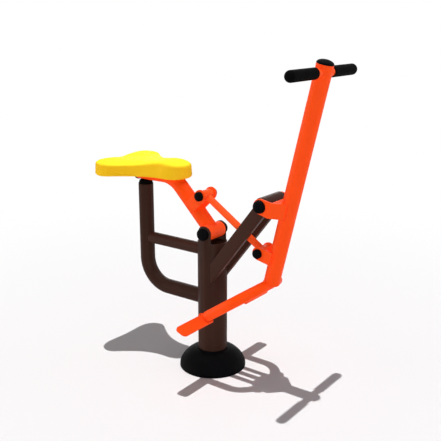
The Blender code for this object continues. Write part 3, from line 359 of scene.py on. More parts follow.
BROWN = PowderCoat("powder-coated steel, brown", Slot.BROWN_STEEL, "#361f17", "#301b14", 0.42,
                   0.06, edge="#4c3026")
BROWN_WELD = PowderCoat("powder-coated weld, brown", Slot.BROWN_STEEL, "#331d16", "#2e1a13", 0.44,
                        0.06, edge="#45291f", ripple=0.5)
# Painted shade: a darker brown than the post's, for the plate deep in the post's slot; it is also
# rougher, with no specular.
BROWN_PAINTED_SHADE = PowderCoat("powder-coated steel, brown, weathered", Slot.BROWN_STEEL, "#2a1b15",
                        "#241711", 0.92, 0.0, edge="#3a261d", peel=0.25)
ORANGE = PowderCoat("powder-coated steel, orange", Slot.ORANGE_STEEL, "#ff4d0e", "#fd490c", 0.38,
                    0.05, edge="#ff7440")
ORANGE_WELD = PowderCoat("powder-coated weld, orange", Slot.ORANGE_STEEL, "#fb480c", "#f2400a",
                         0.42, 0.05, edge="#ff6c38", ripple=0.5)
# The seat's upward faces are painted a paler yellow, as painted light from above.
SEAT_YELLOW = Moulding("moulded polyethylene, yellow", Slot.YELLOW_PLASTIC, "#f0be22", "#ecb81c",
                       0.62, 0.02, edge="#f7cf40", grain=1.8, depth=0.10, wear=0.30,
                       painted_top_light="#ffee32")
BLACK_CAP = Moulding("moulded polypropylene, black", Slot.BLACK_PLASTIC, "#060607", "#08080a",
                     0.52, 0.02, edge="#101012", grain=1.4, depth=0.08)
BLACK_GRIP = Moulding("moulded rubber, black", Slot.BLACK_RUBBER, "#070707", "#090909", 0.62,
                      0.01, edge="#0d0d0d", grain=1.6, depth=0.20)
BUSH_NYLON = Moulding("turned nylon, natural", Slot.PALE_NYLON, "#b9b5aa", "#aca89d", 0.45, 0.30,
                      edge="#cfccc2", grain=1.0, depth=0.06)
ZINC = ZincPlate("zinc-plated steel", Slot.BRIGHT_STEEL, "#c3c7cb", "#a9adb0", 0.34, 0.50)


# Bench: one piece at a time, shaped with Blender's own tools


def at(x: float, y: float, z: float) -> Vector:
    """Return a place given in millimetres."""
    return Vector((x, y, z)) * MM


def choose(*things: Thing) -> None:
    """Select these objects only, and make the first one active.

    Args:
        things: The objects.
    """
    bpy.ops.object.select_all(action="DESELECT")
    for thing in things:
        thing.select_set(True)
    if things:
        bpy.context.view_layer.objects.active = things[0]


class Workpiece:
    """One mesh that is being modelled in edit mode."""

    def __init__(self, name: str) -> None:
        """Take up the primitive that was just added, and enter edit mode.

        Args:
            name: The piece's name.
        """
        bpy.ops.object.transform_apply(location=True, rotation=True, scale=True)
        self.thing: Thing = bpy.context.active_object
        self.thing.name = name
        self.thing.data.name = name
        bpy.ops.object.mode_set(mode="EDIT")
        bpy.ops.mesh.select_mode(type="VERT")

    @classmethod
    def ring(cls, name: str, radius: float, place: Vector, axis: Vector = UP, sides: int = 64,
             fill: str = "NOTHING", level: Vector | None = None) -> Workpiece:
        """Start from a circle.

        Args:
            name: The piece's name.
            radius: The circle's radius in millimetres.
            place: Its centre.
            axis: The direction that it faces.
            sides: How many sides it has.
            fill: Blender's fill type.
            level: A direction in its plane that one of its points lies in.

        Returns:
            The piece, in edit mode.
        """
        choose()
        turn = (axis.to_track_quat("Z", "Y") if level is None
                else Matrix((level, axis.cross(level), axis)).transposed())
        bpy.ops.mesh.primitive_circle_add(vertices=sides, radius=radius * MM, fill_type=fill,
                                          location=place, rotation=turn.to_euler())
        return cls(name)

    @classmethod
    def block(cls, name: str, size: Vector, place: Vector,
              turn: Matrix = Matrix.Identity(3)) -> Workpiece:
        """Start from a box of a size in metres, about a place.

        Args:
            name: The piece's name.
            size: The box's size.
            place: Its centre.
            turn: Its turn.

        Returns:
            The piece, in edit mode.
        """
        choose()
        bpy.ops.mesh.primitive_cube_add(size=1.0, location=place, rotation=turn.to_euler(),
                                        scale=size)
        return cls(name)

    def pick(self, test: Callable[[Vector], bool]) -> None:
        """Select the points whose place passes a test.

        Args:
            test: Whether a place is picked.
        """
        bpy.ops.mesh.select_all(action="DESELECT")
        shape = bmesh.from_edit_mesh(self.thing.data)
        for point in shape.verts:
            point.select_set(test(point.co))
        shape.select_flush(True)
        bmesh.update_edit_mesh(self.thing.data)

    def pick_edges(self, test: Callable[[Vector, Vector], bool]) -> None:
        """Select the edges whose two ends pass a test.

        Args:
            test: Whether an edge with these ends is picked.
        """
        bpy.ops.mesh.select_mode(type="EDGE")
        bpy.ops.mesh.select_all(action="DESELECT")
        for edge in bmesh.from_edit_mesh(self.thing.data).edges:
            edge.select_set(test(edge.verts[0].co, edge.verts[1].co))
        bmesh.update_edit_mesh(self.thing.data)

    def whole(self) -> None:
        """Select everything."""
        bpy.ops.mesh.select_all(action="SELECT")

    def extrude(self, move: Vector) -> None:
        """Extrude what is selected."""
        bpy.ops.mesh.extrude_region_move(TRANSFORM_OT_translate={"value": move})

    def resize(self, share: float, centre: Vector) -> None:
        """Scale what is selected about a centre."""
        bpy.ops.transform.resize(value=(share, share, share), center_override=centre)

    def fill(self) -> None:
        """Join what is selected with an edge or a face."""
        bpy.ops.mesh.edge_face_add()

    def close(self) -> None:
        """Join the two selected ends of a row of points, and fill the outline they make."""
        self.fill()
        self.whole()
        self.fill()

    def trim(self, place: Vector, normal: Vector, **sides: bool) -> None:
        """Cut the whole piece along a plane, and clear one of its sides."""
        self.whole()
        bpy.ops.mesh.bisect(plane_co=place, plane_no=normal, **sides)

    def lay(self, path: Sequence[Vector]) -> None:
        """Move the ring's points, one by one, to the places of a path.

        Args:
            path: One place for each point.
        """
        starts = [point.co.copy() for point in bmesh.from_edit_mesh(self.thing.data).verts]
        for number, (start, end) in enumerate(zip(starts, path)):
            bpy.ops.mesh.select_all(action="DESELECT")
            shape = bmesh.from_edit_mesh(self.thing.data)
            shape.verts.ensure_lookup_table()
            shape.verts[number].select_set(True)
            bmesh.update_edit_mesh(self.thing.data)
            bpy.ops.transform.translate(value=end - start)

    def bevel(self, width: float, segments: int) -> None:
        """Bevel the selected edges by a width in millimetres."""
        bpy.ops.mesh.bevel(offset=width * MM, segments=segments, affect="EDGES")

    def done(self) -> Thing:
        """Close the piece's holes, turn its faces outwards and leave edit mode.

        Returns:
            The finished object.
        """
        self.whole()
        bpy.ops.mesh.remove_doubles(threshold=TINY)
        bpy.ops.mesh.fill_holes(sides=0)
        bpy.ops.mesh.normals_make_consistent(inside=False)
        bpy.ops.object.mode_set(mode="OBJECT")
        return smooth(self.thing)


def smooth(thing: Thing, angle: float = SHARP) -> Thing:
    """Shade a piece smooth, with creases at its sharp edges.

    Args:
        thing: The piece.
        angle: Edges sharper than this keep a crease.

    Returns:
        The piece.
    """
    choose(thing)
    bpy.ops.object.shade_smooth_by_angle(angle=angle)
    return thing


def apply_modifier(thing: Thing, kind: str, **settings: object) -> None:
    """Add a modifier with its settings, and apply it.

    Args:
        thing: The piece.
        kind: The modifier's type.
        settings: The modifier's own settings.
    """
    choose(thing)
    bpy.ops.object.modifier_add(type=kind)
    modifier = thing.modifiers[-1]
    for name, value in settings.items():
        setattr(modifier, name, value)
    bpy.ops.object.modifier_apply(modifier=modifier.name)


def ease(thing: Thing, width: float, segments: int = 3) -> Thing:
    """Round a piece's sharp edges by a width in millimetres.

    Args:
        thing: The piece.
        width: The rounding's width.
        segments: How many steps it has.

    Returns:
        The piece.
    """
    apply_modifier(thing, "BEVEL", width=width * MM, segments=segments, limit_method="ANGLE",
                   angle_limit=SHARP, use_clamp_overlap=True)
    return smooth(thing)


def work(thing: Thing, tool: Thing, join: Join) -> None:
    """Cut a piece with a tool, or keep only what the tool covers, and remove the tool."""
    apply_modifier(thing, "BOOLEAN", object=tool, operation=join.value, solver="EXACT")
    bpy.data.objects.remove(tool, do_unlink=True)


def joined(name: str, *things: Thing) -> Thing:
    """Join several meshes into one piece.

    Args:
        name: The piece's name.
        things: The meshes.

    Returns:
        The piece.
    """
    choose(*things)
    bpy.ops.object.join()
    things[0].name = name
    return things[0]


def turned(name: str, profile: Outline, place: Vector, axis: Vector = UP,
           sides: int = 64) -> Thing:
    """Model a round piece, whose ring is extruded and scaled along its profile.

    Args:
        name: The piece's name.
        profile: Radius and height, in millimetres, from ring to ring. One that starts on the axis
            is solid there, one that ends on it is closed by a pole, and one that comes back to
            its start is hollow.
        place: Where height 0 lies.
        axis: The direction in which heights grow.
        sides: How many sides the piece has.

    Returns:
        The finished object.
    """
    solid = profile[0][0] == 0.0
    rings = profile[1:] if solid else profile
    radius, height = rings[0]
    piece = Workpiece.ring(name, radius, place + axis * height * MM, axis, sides,
                           "TRIFAN" if solid else "NOTHING")
    piece.whole()
    for next_radius, next_height in rings[1:]:
        piece.extrude(axis * (next_height - height) * MM)
        if next_radius == 0.0:
            bpy.ops.mesh.merge(type="CENTER")
        elif next_radius != radius:
            piece.resize(next_radius / radius, place + axis * next_height * MM)
        radius, height = next_radius, next_height
    return piece.done()


def sleeve(name: str, place: Vector, half: float, radius: float, bore: float,
           edge: float = 1.0, sides: int = 64) -> Thing:
    """Turn a cross tube with bored, chamfered ends.

    Args:
        name: The piece's name.
        place: Its middle.
        half: Half its length in millimetres.
        radius: Its outer radius.
        bore: Its inner radius.
        edge: Its chamfers' width.
        sides: How many sides it has.

    Returns:
        The finished object.
    """
    profile = [(bore, -half), (radius - edge, -half), (radius, edge - half),
               (radius, half - edge), (radius - edge, half), (bore, half), (bore, -half)]
    return turned(name, profile, place, ACROSS, sides)


def swept(name: str, corners: Sequence[Vector], bend: float, radius: float, sides: int = 48,
          steps: int = 20) -> Workpiece:
    """Model a bent tube: its ring is extruded along each leg and spun round each bend.

    Args:
        name: The piece's name.
        corners: The ends of the route, and the corners that its bends round off.
        bend: The bends' radius in millimetres.
        radius: The tube's radius in millimetres.
        sides: How many sides it has.
        steps: How many steps each bend has.

    Returns:
        The piece, in edit mode, with its ends open.
    """
    place = corners[0]
    piece = Workpiece.ring(name, radius, place, (corners[1] - place).normalized(), sides)
    piece.whole()
    for before, corner, after in zip(corners, corners[1:], corners[2:]):
        back, ahead = (before - corner).normalized(), (after - corner).normalized()
        half = back.angle(ahead) / 2.0
        setback = bend * MM / math.tan(half)
        start, end = corner + back * setback, corner + ahead * setback
        centre = corner + (back + ahead).normalized() * (bend * MM / math.sin(half))
        axis = (start - centre).cross(end - centre).normalized()
        piece.extrude(start - place)
        # With no window, the tool turns against the sign of its angle.
        bpy.ops.mesh.spin(steps=steps, angle=2.0 * half - math.pi, center=centre, axis=axis)
        place = end
    piece.extrude(corners[-1] - place)
    return piece


def dome(radius: float, base: float, height: float, steps: int,
         fullness: float = 2.0) -> list[tuple[float, float]]:
    """Return a dome's profile from its rim to its tip.

    Args:
        radius: Its radius in millimetres.
        base: The height of its rim.
        height: Its own height.
        steps: How many rings it has.
        fullness: 2 is round, and less is flatter.

    Returns:
        Radius and height of each ring.
    """
    power = 2.0 / fullness
    turns = [QUARTER * step / steps for step in range(steps)]
    side = [(radius * math.cos(turn) ** power, base + height * math.sin(turn) ** power)
            for turn in turns]
    return side + [(0.0, base + height)]


def tab(name: str, centre: Vector, root: Vector, radius: float) -> Workpiece:
    """Model a flat tab across the machine: a half round with straight sides to its root.

    Args:
        name: The piece's name.
        centre: The centre of its round end.
        root: The middle of its root.
        radius: Half its width in millimetres.

    Returns:
        The piece, in edit mode, as one flat face.
    """
    along = (root - centre).normalized()
    piece = Workpiece.ring(name, radius, centre, ACROSS, 64, level=along)
    piece.pick(lambda place: (place - centre).dot(along) > TINY)
    bpy.ops.mesh.delete(type="VERT")
    piece.pick(lambda place: (place - centre).dot(along) > -TINY)
    piece.extrude(root - centre)
    piece.close()
    return piece


@dataclass(frozen=True)
class Barrel:
    """A round bar that other pieces are welded to; radius in millimetres."""

    place: Vector
    axis: Vector
    radius: float

    def meet(self, start: Vector, heading: Vector) -> Vector:
        """Return where a straight line first meets the bar's skin, or passes nearest to it.

        Args:
            start: A place on the line.
            heading: The line's direction.

        Returns:
            The place on the bar.
        """
        off = start - self.place
        off = off - self.axis * off.dot(self.axis)
        way = heading - self.axis * heading.dot(self.axis)
        square, middle = way.dot(way), off.dot(way)
        rest = off.dot(off) - (self.radius * MM) ** 2
        root = math.sqrt(max(0.0, middle ** 2 - square * rest))
        return start + heading * ((-middle - root) / square)


POST = Barrel(Vector(), UP, 57.15)


def round_section(radius: float, count: int = 40) -> Outline:
    """Return points round a circle."""
    turns = [math.tau * step / count for step in range(count)]
    return [(radius * math.cos(turn), radius * math.sin(turn)) for turn in turns]


def box_section(half_wide: float, half_deep: float, corner: float, count: int = 8) -> Outline:
    """Return points round a box with rounded corners.

    Args:
        half_wide: Half its width in millimetres.
        half_deep: Half its depth.
        corner: Its corners' radius.
        count: How many steps each side has.

    Returns:
        The points in order.
    """
    arcs = []
    for number, (side, rise) in enumerate(((1.0, 1.0), (-1.0, 1.0), (-1.0, -1.0), (1.0, -1.0))):
        turns = [QUARTER * (number + step / 3.0) for step in range(4)]
        arcs.append([(side * (half_wide - corner) + corner * math.cos(turn),
                      rise * (half_deep - corner) + corner * math.sin(turn)) for turn in turns])
    points = []
    for arc, following in zip(arcs, arcs[1:] + arcs[:1]):
        (x, y), (end_x, end_y) = arc[-1], following[0]
        points += arc + [(x + (end_x - x) * step / count, y + (end_y - y) * step / count)
                         for step in range(1, count)]
    return points


def weld(name: str, path: Sequence[Vector], radius: float = 2.4, closed: bool = True) -> Thing:
    """Model a weld bead: a ring laid along the joint and given its thickness.

    Args:
        name: The bead's name.
        path: The joint's places.
        radius: The bead's radius in millimetres.
        closed: Whether it runs all the way round.

    Returns:
        The finished object.
    """
    piece = Workpiece.ring(name, 10.0, Vector(), UP, len(path))
    piece.lay(path)
    if not closed:
        ends = (path[0], path[-1])
        piece.pick(lambda place: min((place - end).length for end in ends) < TINY)
        bpy.ops.mesh.delete(type="EDGE")
    bpy.ops.object.mode_set(mode="OBJECT")
    choose(piece.thing)
    bpy.ops.object.convert(target="CURVE")
    curve = piece.thing.data
    curve.bevel_depth, curve.bevel_resolution, curve.use_fill_caps = radius * MM, 2, not closed
    bpy.ops.object.convert(target="MESH")
    return smooth(piece.thing, math.pi)


def butt_weld(name: str, section: Outline, place: Vector, heading: Vector, barrel: Barrel,
              level: Vector = ACROSS) -> Thing:
    """Model the weld where a straight piece ends on a round bar.

    Args:
        name: The bead's name.
        section: The straight piece's outline in millimetres, first along level.
        place: A place on its middle line, clear of the bar.
        heading: The direction in which it runs to the bar.
        barrel: The bar.
        level: The section's first direction.

    Returns:
        The finished object.
    """
    other = heading.cross(level)
    return weld(name, [barrel.meet(place + (level * one + other * two) * MM, heading)
                       for one, two in section])


def fit(thing: Thing, finish: Finish, body: Body, *nodes: str) -> None:
    """Dress a piece, hang it on its body and log it.

    Args:
        thing: The piece.
        finish: Its finish.
        body: The body that it moves with.
        nodes: The CAD nodes that it stands for.
    """
    thing.data.materials.clear()
    thing.data.materials.append(finish.material())
    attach(thing, body.value)
    if nodes:
        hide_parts(*nodes)
    LOG.info("%s: %s, %d faces", thing.name, finish.name, len(thing.data.polygons))


def fit_pair(thing: Thing, finish: Finish, body: Body, node: str) -> None:
    """Dress a piece named for the right side, and its mirror image on the left.

    Args:
        thing: The piece on the right.
        finish: Their finish.
        body: The body that they move with.
        node: The name that the two CAD nodes share.
    """
    choose(thing)
    bpy.ops.object.duplicate(linked=False)
    twin = bpy.context.active_object
    twin.name = twin.data.name = thing.name.replace("right", "left")
    bpy.ops.object.mode_set(mode="EDIT")
    bpy.ops.mesh.select_all(action="SELECT")
    bpy.ops.transform.resize(value=(1.0, -1.0, 1.0), center_override=(0.0, 0.0, 0.0))
    bpy.ops.mesh.normals_make_consistent(inside=False)
    bpy.ops.object.mode_set(mode="OBJECT")
    fit(thing, finish, body, node + "_right")
    fit(twin, finish, body, node + "_left")


def keep(frame: dict, finish: Finish, *names: str) -> None:
    """Give CAD nodes whose shape is right a better material.

    Args:
        frame: The loaded frame.
        finish: The material's finish.
        names: The CAD nodes.
    """
    for name in names:
        for slot in frame["nodes"][name].material_slots:
            slot.material = finish.material()
        LOG.info("%s: kept, %s", name, finish.name)


# Sub-assemblies, from the ground up


@dataclass
class GroundPost:
    """Main post with its ears, base cover, flange, anchors and the seat pivot's caps."""

    radius: float = POST.radius
    wall: float = 5.0
    foot: float = 12.3
    pivot: float = 555.0
    slot_half: float = 48.5
    slot_floor: float = 517.0
    floor_sink: float = 6.0
    ear_radius: float = 30.5
    cover_radius: float = 131.0
    cover_height: float = 76.0
    cover_skirt: float = 8.0
    cover_wall: float = 3.0
    cover_collar: float = 2.6
    cap_radius: float = 23.5
    cap_collar: float = 14.6
    cap_dome: float = 7.4

    def build(self, frame: dict) -> None:
        """Build and dress the sub-assembly.

        Args:
            frame: The loaded frame.
        """
        fit(self.post(), BROWN, Body.FRAME, "main_post")
        # The sunk plate takes the brown with painted shade.
        fit(self.plate(), BROWN_PAINTED_SHADE, Body.FRAME, "post_top_plate")
        fit(self.cover(), BLACK_CAP, Body.FRAME, "base_cover")
        fit_pair(self.cap(), BLACK_CAP, Body.FRAME, "seat_pivot_cap")
        keep(frame, BROWN, "base_flange")
        keep(frame, ZINC, *(f"anchor_bolt_{number}" for number in range(1, 5)), "seat_axle",
             "seat_axle_nut")

    def post(self) -> Thing:
        """Turn the post's tube, and cut the slot and the round ears.

        Returns:
            The post.
        """
        top, bore = self.pivot + self.ear_radius + 2.0, self.radius - self.wall
        post = turned("round_post", [(bore, self.foot), (self.radius, self.foot),
                                     (self.radius, top), (bore, top), (bore, self.foot)],
                      Vector(), UP, 96)
        height = top + 10.0 - self.slot_floor
        slot = Workpiece.block("slot_tool", at(150.0, 2.0 * self.slot_half, height),
                               at(0.0, 0.0, self.slot_floor + height / 2.0)).done()
        work(post, slot, Join.CUT)
        work(post, self.ear_tool(), Join.KEEP)
        return ease(post, 0.9, 2)

    def plate(self) -> Thing:
        """Turn the disc that closes the post inside the slot, sunk a little below its floor.

        Returns:
            The disc.
        """
        bore = self.radius - self.wall + 0.1
        face = self.slot_floor - self.floor_sink
        return turned("rain_plate", [(0.0, face - 5.0), (bore, face - 5.0), (bore, face - 1.2),
                                     (bore - 1.2, face), (0.0, face)], Vector(), UP, 96)

    def ear_tool(self) -> Thing:
        """Model the tool that rounds the ears' tops.

        Returns:
            The tool.
        """
        centre = at(0.0, -70.0, self.pivot)
        tool = Workpiece.ring("ear_tool", self.ear_radius, centre, ACROSS, 64, level=ALONG)
        tool.pick(lambda place: place.z < centre.z - TINY)
        bpy.ops.mesh.delete(type="VERT")
        tool.pick(lambda place: place.z < centre.z + TINY)
        tool.extrude(at(0.0, 0.0, -20.0))
        tool.resize(2.4, centre - at(0.0, 0.0, 20.0))
        tool.extrude(at(0.0, 0.0, 25.0 - self.pivot))
        tool.close()
        tool.extrude(at(0.0, 140.0, 0.0))
        return tool.done()

    def cover(self) -> Thing:
        """Turn the domed cover with its skirt, rolled rim and snug collar.

        Returns:
            The cover.
        """
        edge, wall, top, skirt = (self.cover_radius, self.cover_wall, self.cover_height,
                                  self.cover_skirt)
        bore = self.radius + 0.3
        collar = bore + self.cover_collar
        shell = dome(edge - collar, skirt, top - skirt - 1.5, 22, 1.6)[:-1]
        lining = dome(edge - collar - wall, skirt, top - skirt - wall, 10, 1.6)[:-1]
        profile = [(edge - wall, 0.3), (edge - 1.0, 0.3), (edge, 1.3), (edge, 3.6),
                   (edge - 1.2, 4.6)]
        profile += [(collar + out - (1.2 if up < 9.0 else 0.0), up) for out, up in shell]
        profile += [(collar + 1.0, top - 1.5), (collar, top - 0.9), (collar, top + 1.6),
                    (collar - 1.0, top + 2.4), (bore, top + 2.4), (bore, top - wall)]
        profile += [(collar + out, up) for out, up in lining[::-1]] + profile[:1]
        return turned("domed_cover", profile, Vector(), UP, 96)

    def cap(self) -> Thing:
        """Turn the right cap over the seat axle's end, out of the ear's face.

        Returns:
            The cap.
        """
        radius, collar = self.cap_radius, self.cap_collar
        profile = [(0.0, 0.0), (radius - 0.4, 0.0), (radius, 7.0), (radius, collar - 0.8)]
        return turned("ear_cap_right", profile + dome(radius, collar, self.cap_dome, 14),
                      at(0.0, 5.6 - self.radius, self.pivot), -ACROSS)


@dataclass
class RearStop:
    """Stop frame behind the post, with its brace, its buffer and their welds."""

    upright: float = -335.6
    top: float = 698.0
    foot: float = 280.0
    radius: float = 30.0
    bend: float = 110.0
    brace: float = 475.0
    brace_radius: float = 23.5
    base_radius: float = 29.5
    tip_radius: float = 21.0
    buffer_height: float = 16.7

    def build(self) -> None:
        """Build and dress the sub-assembly."""
        fit(self.stop_frame(), BROWN, Body.FRAME, "rear_stop_frame")
        fit(self.brace_tube(), BROWN, Body.FRAME, "rear_brace")
        fit(self.buffer(), BLACK_GRIP, Body.FRAME, "stop_buffer")
        fit(self.welds(), BROWN_WELD, Body.FRAME)

    def stop_frame(self) -> Thing:
        """Bend the frame's tube, from the buffer down and forward into the post.

        Returns:
            The stop frame.
        """
        corners = [at(self.upright, 0.0, self.top), at(self.upright, 0.0, self.foot),
                   at(-48.0, 0.0, self.foot)]
        return ease(swept("stop_frame_tube", corners, self.bend, self.radius, 56, 24).done(), 1.0)

    def brace_tube(self) -> Thing:
        """Draw the brace's straight tube."""
        ends = [at(self.upright + 12.0, 0.0, self.brace), at(-50.0, 0.0, self.brace)]
        return swept("brace_tube", ends, 0.0, self.brace_radius).done()

    def buffer(self) -> Thing:
        """Turn the rubber buffer: a flange, a waist and a rounded, tapered head.

        Returns:
            The buffer.
        """
        base, tip, height = self.base_radius, self.tip_radius, self.buffer_height
        profile = [(0.0, -20.0), (STEM, -20.0), (STEM, 0.3), (base - 0.8, 0.3), (base, 1.1),
                   (base, 3.4), (base - 0.8, 4.2), (base - 1.6, 4.4), (base - 1.9, 5.2),
                   (tip + 5.6, height - 6.0), (tip + 4.6, height - 3.4), (tip + 3.2, height - 1.5),
                   (tip + 1.4, height - 0.4), (tip - 1.0, height), (0.0, height)]
        return turned("buffer_rubber", profile, at(self.upright, 0.0, self.top))

    def welds(self) -> Thing:
        """Lay the beads where the tubes meet the post and each other.

        Returns:
            The beads, as one piece.
        """
        brace, middle = round_section(self.brace_radius), at(-200.0, 0.0, self.brace)
        upright = Barrel(at(self.upright, 0.0, 0.0), UP, self.radius)
        return joined("stop_frame_welds",
                      butt_weld("foot_weld", round_section(self.radius),
                                at(-200.0, 0.0, self.foot), ALONG, POST),
                      butt_weld("brace_front_weld", brace, middle, ALONG, POST),
                      butt_weld("brace_rear_weld", brace, middle, -ALONG, upright))


@dataclass
class FrontArms:
    """The two slanting box arms and the cross tube that the lever turns on."""

    pivot_x: float = 262.0
    pivot_z: float = 706.5
    slope: float = 52.5
    depth: float = 50.0
    thick: float = 25.0
    inner: float = 27.5
    corner: float = 3.5
    tube_radius: float = 30.0
    tube_half: float = 61.0

    def build(self, frame: dict) -> None:
        """Build and dress the sub-assembly.

        Args:
            frame: The loaded frame.
        """
        fit_pair(self.arm(), BROWN, Body.FRAME, "front_arm")
        fit(sleeve("cross_tube", self.pivot(), self.tube_half, self.tube_radius,
                   self.tube_radius - 5.0), BROWN, Body.FRAME, "front_pivot_tube")
        fit(self.welds(), BROWN_WELD, Body.FRAME)
        keep(frame, BUSH_NYLON, "front_bush_right", "front_bush_left")

    def heading(self) -> Vector:
        """Return the direction up the arms."""
        turn = math.radians(self.slope)
        return Vector((math.cos(turn), 0.0, math.sin(turn)))

    def pivot(self) -> Vector:
        """Return the cross tube's centre."""
        return at(self.pivot_x, 0.0, self.pivot_z)

    def aside(self, side: float) -> Vector:
        """Return how far an arm's middle line lies to a side."""
        return ACROSS * side * (self.inner + self.thick / 2.0) * MM

    def arm(self) -> Thing:
        """Model the right arm: a box tube with rounded corners, from the post to the tube.

        Returns:
            The arm.
        """
        along = self.heading()
        length = self.pivot_x / along.x
        middle = self.pivot() - along * length * MM / 2.0 + self.aside(-1.0)
        turn = Matrix((along, ACROSS, along.cross(ACROSS))).transposed()
        piece = Workpiece.block("box_arm_right", at(length, self.thick, self.depth), middle, turn)
        piece.pick_edges(lambda one, two: (one - two).length > 0.9 * length * MM)
        piece.bevel(self.corner, 5)
        return piece.done()

    def welds(self) -> Thing:
        """Lay the beads at both ends of both arms.

        Returns:
            The beads, as one piece.
        """
        tube = Barrel(self.pivot(), ACROSS, self.tube_radius)
        section = box_section(self.thick / 2.0, self.depth / 2.0, self.corner)
        beads = []
        for side in (-1.0, 1.0):
            middle = self.pivot() - self.heading() * 0.16 + self.aside(side)
            beads += [butt_weld("arm_foot_weld", section, middle, -self.heading(), POST),
                      butt_weld("arm_tip_weld", section, middle, self.heading(), tube)]
        return joined("front_arm_welds", *beads)


@dataclass
class LinkPivot:
    """The lugs, pin and black caps at one end of the link."""

    prefix: str
    centre: Vector
    root: Vector
    body: Body
    radius: float = 24.5
    inner: float = 29.21
    thick: float = 9.0
    cap_radius: float = 18.0
    cap_collar: float = 9.0
    cap_dome: float = 7.0
    cap_seat: float = 38.51

    def build(self, frame: dict) -> None:
        """Build and dress the sub-assembly.

        Args:
            frame: The loaded frame.
        """
        fit_pair(self.lug(), ORANGE, self.body, self.prefix + "_lug")
        fit_pair(self.cap(), BLACK_CAP, self.body, self.prefix + "_pin_cap")
        fit(self.welds(), ORANGE_WELD, self.body)
        keep(frame, ZINC, self.prefix + "_pin", self.prefix + "_pin_nut")

    def lug(self) -> Thing:
        """Cut the right lug from plate, with eased edges.

        Returns:
            The lug.
        """
        shift = ACROSS * -self.inner * MM
        piece = tab(self.prefix + "_tab_right", self.centre + shift, self.root + shift, self.radius)
        piece.extrude(ACROSS * -self.thick * MM)
        return ease(piece.done(), 1.2)

    def cap(self) -> Thing:
        """Turn the right cap: a thin foot, a collar and a low dome.

        Returns:
            The cap.
        """
        foot, collar = self.cap_radius, self.cap_collar
        radius = foot - 0.4
        profile = [(0.0, 0.0), (foot - 0.5, 0.0), (foot, 0.5), (foot, 1.9), (radius, 2.4),
                   (radius, collar)] + dome(radius, collar, self.cap_dome, 16)[1:]
        return turned(self.prefix + "_cap_right", profile,
                      self.centre - ACROSS * self.cap_seat * MM, -ACROSS, 56)

    def welds(self) -> Thing:
        """Lay the beads round both lugs' roots.

        Returns:
            The beads, as one piece.
        """
        along = (self.root - self.centre).normalized()
        side = along.cross(ACROSS)
        beads = []
        for hand in (-1.0, 1.0):
            middle = self.root + ACROSS * hand * (self.inner + self.thick / 2.0 - 1.0) * MM
            path = [middle + (ACROSS * one + side * two) * MM - along * 0.8 * MM
                    for one, two in box_section(self.thick / 2.0, self.radius, 1.5)]
            beads.append(weld(self.prefix + "_root_weld", path, 1.9))
        return joined(self.prefix + "_lug_welds", *beads)


@dataclass
class SeatArm:
    """Bent arm that carries the seat, with its pivot housing, end plug and bracket."""

    pivot: float = 555.0
    radius: float = 30.0
    height: float = 745.0
    corner: float = -186.0
    rear: float = -366.0
    bend: float = 120.0
    housing_half: float = 46.0
    plate_size: tuple[float, float, float] = (124.0, 112.0, 5.0)
    plate_place: tuple[float, float, float] = (-310.0, 0.0, 777.8)

    def build(self, frame: dict) -> None:
        """Build and dress the sub-assembly.

        Args:
            frame: The loaded frame.
        """
        fit(self.tube(), ORANGE, Body.SEAT_ARM, "seat_arm_tube")
        fit(sleeve("pivot_housing", at(0.0, 0.0, self.pivot), self.housing_half, self.radius,
                   self.radius - 5.0), ORANGE, Body.SEAT_ARM, "seat_pivot_housing")
        fit(self.plug(), BLACK_CAP, Body.SEAT_ARM, "seat_arm_end_cap")
        fit(self.bracket(), ZINC, Body.SEAT_ARM, "seat_bracket")
        fit(self.weld(), ORANGE_WELD, Body.SEAT_ARM)
        keep(frame, BUSH_NYLON, "seat_bush_right", "seat_bush_left")
        keep(frame, ZINC, *(f"seat_bolt_{number}" for number in range(1, 5)))

    def axis(self) -> Vector:
        """Return the direction of the arm's slanting leg."""
        return at(self.corner, 0.0, self.height - self.pivot).normalized()

    def tube(self) -> Thing:
        """Bend the arm's tube, from the housing up and back under the seat.

        Returns:
            The arm's tube.
        """
        start = at(0.0, 0.0, self.pivot) + self.axis() * 14.0 * MM
        corners = [start, at(self.corner, 0.0, self.height), at(self.rear, 0.0, self.height)]
        return ease(swept("bent_seat_arm", corners, self.bend, self.radius, 56, 20).done(), 0.8)

    def plug(self) -> Thing:
        """Turn the black plug in the arm's rear end.

        Returns:
            The plug.
        """
        profile = [(0.0, -16.0), (STEM, -16.0), (STEM, 0.0), (31.4, 0.0), (32.2, 0.8),
                   (32.2, 6.2), (31.4, 7.0)] + dome(31.4, 7.0, 11.0, 14, 1.8)[1:]
        return turned("arm_end_plug", profile, at(self.rear - 0.3, 0.0, self.height), -ALONG)

    def bracket(self) -> Thing:
        """Cut the plate under the seat, with round corners and eased edges.

        Returns:
            The plate.
        """
        piece = Workpiece.block("seat_plate", at(*self.plate_size), at(*self.plate_place))
        piece.pick_edges(lambda one, two: abs(one.z - two.z) > TINY)
        piece.bevel(12.0, 6)
        return ease(piece.done(), 0.8, 2)

    def weld(self) -> Thing:
        """Lay the bead where the arm meets its housing.

        Returns:
            The bead.
        """
        pivot = at(0.0, 0.0, self.pivot)
        return butt_weld("seat_arm_weld", round_section(self.radius - 0.5),
                         pivot + self.axis() * 120.0 * MM, -self.axis(),
                         Barrel(pivot, ACROSS, self.radius))


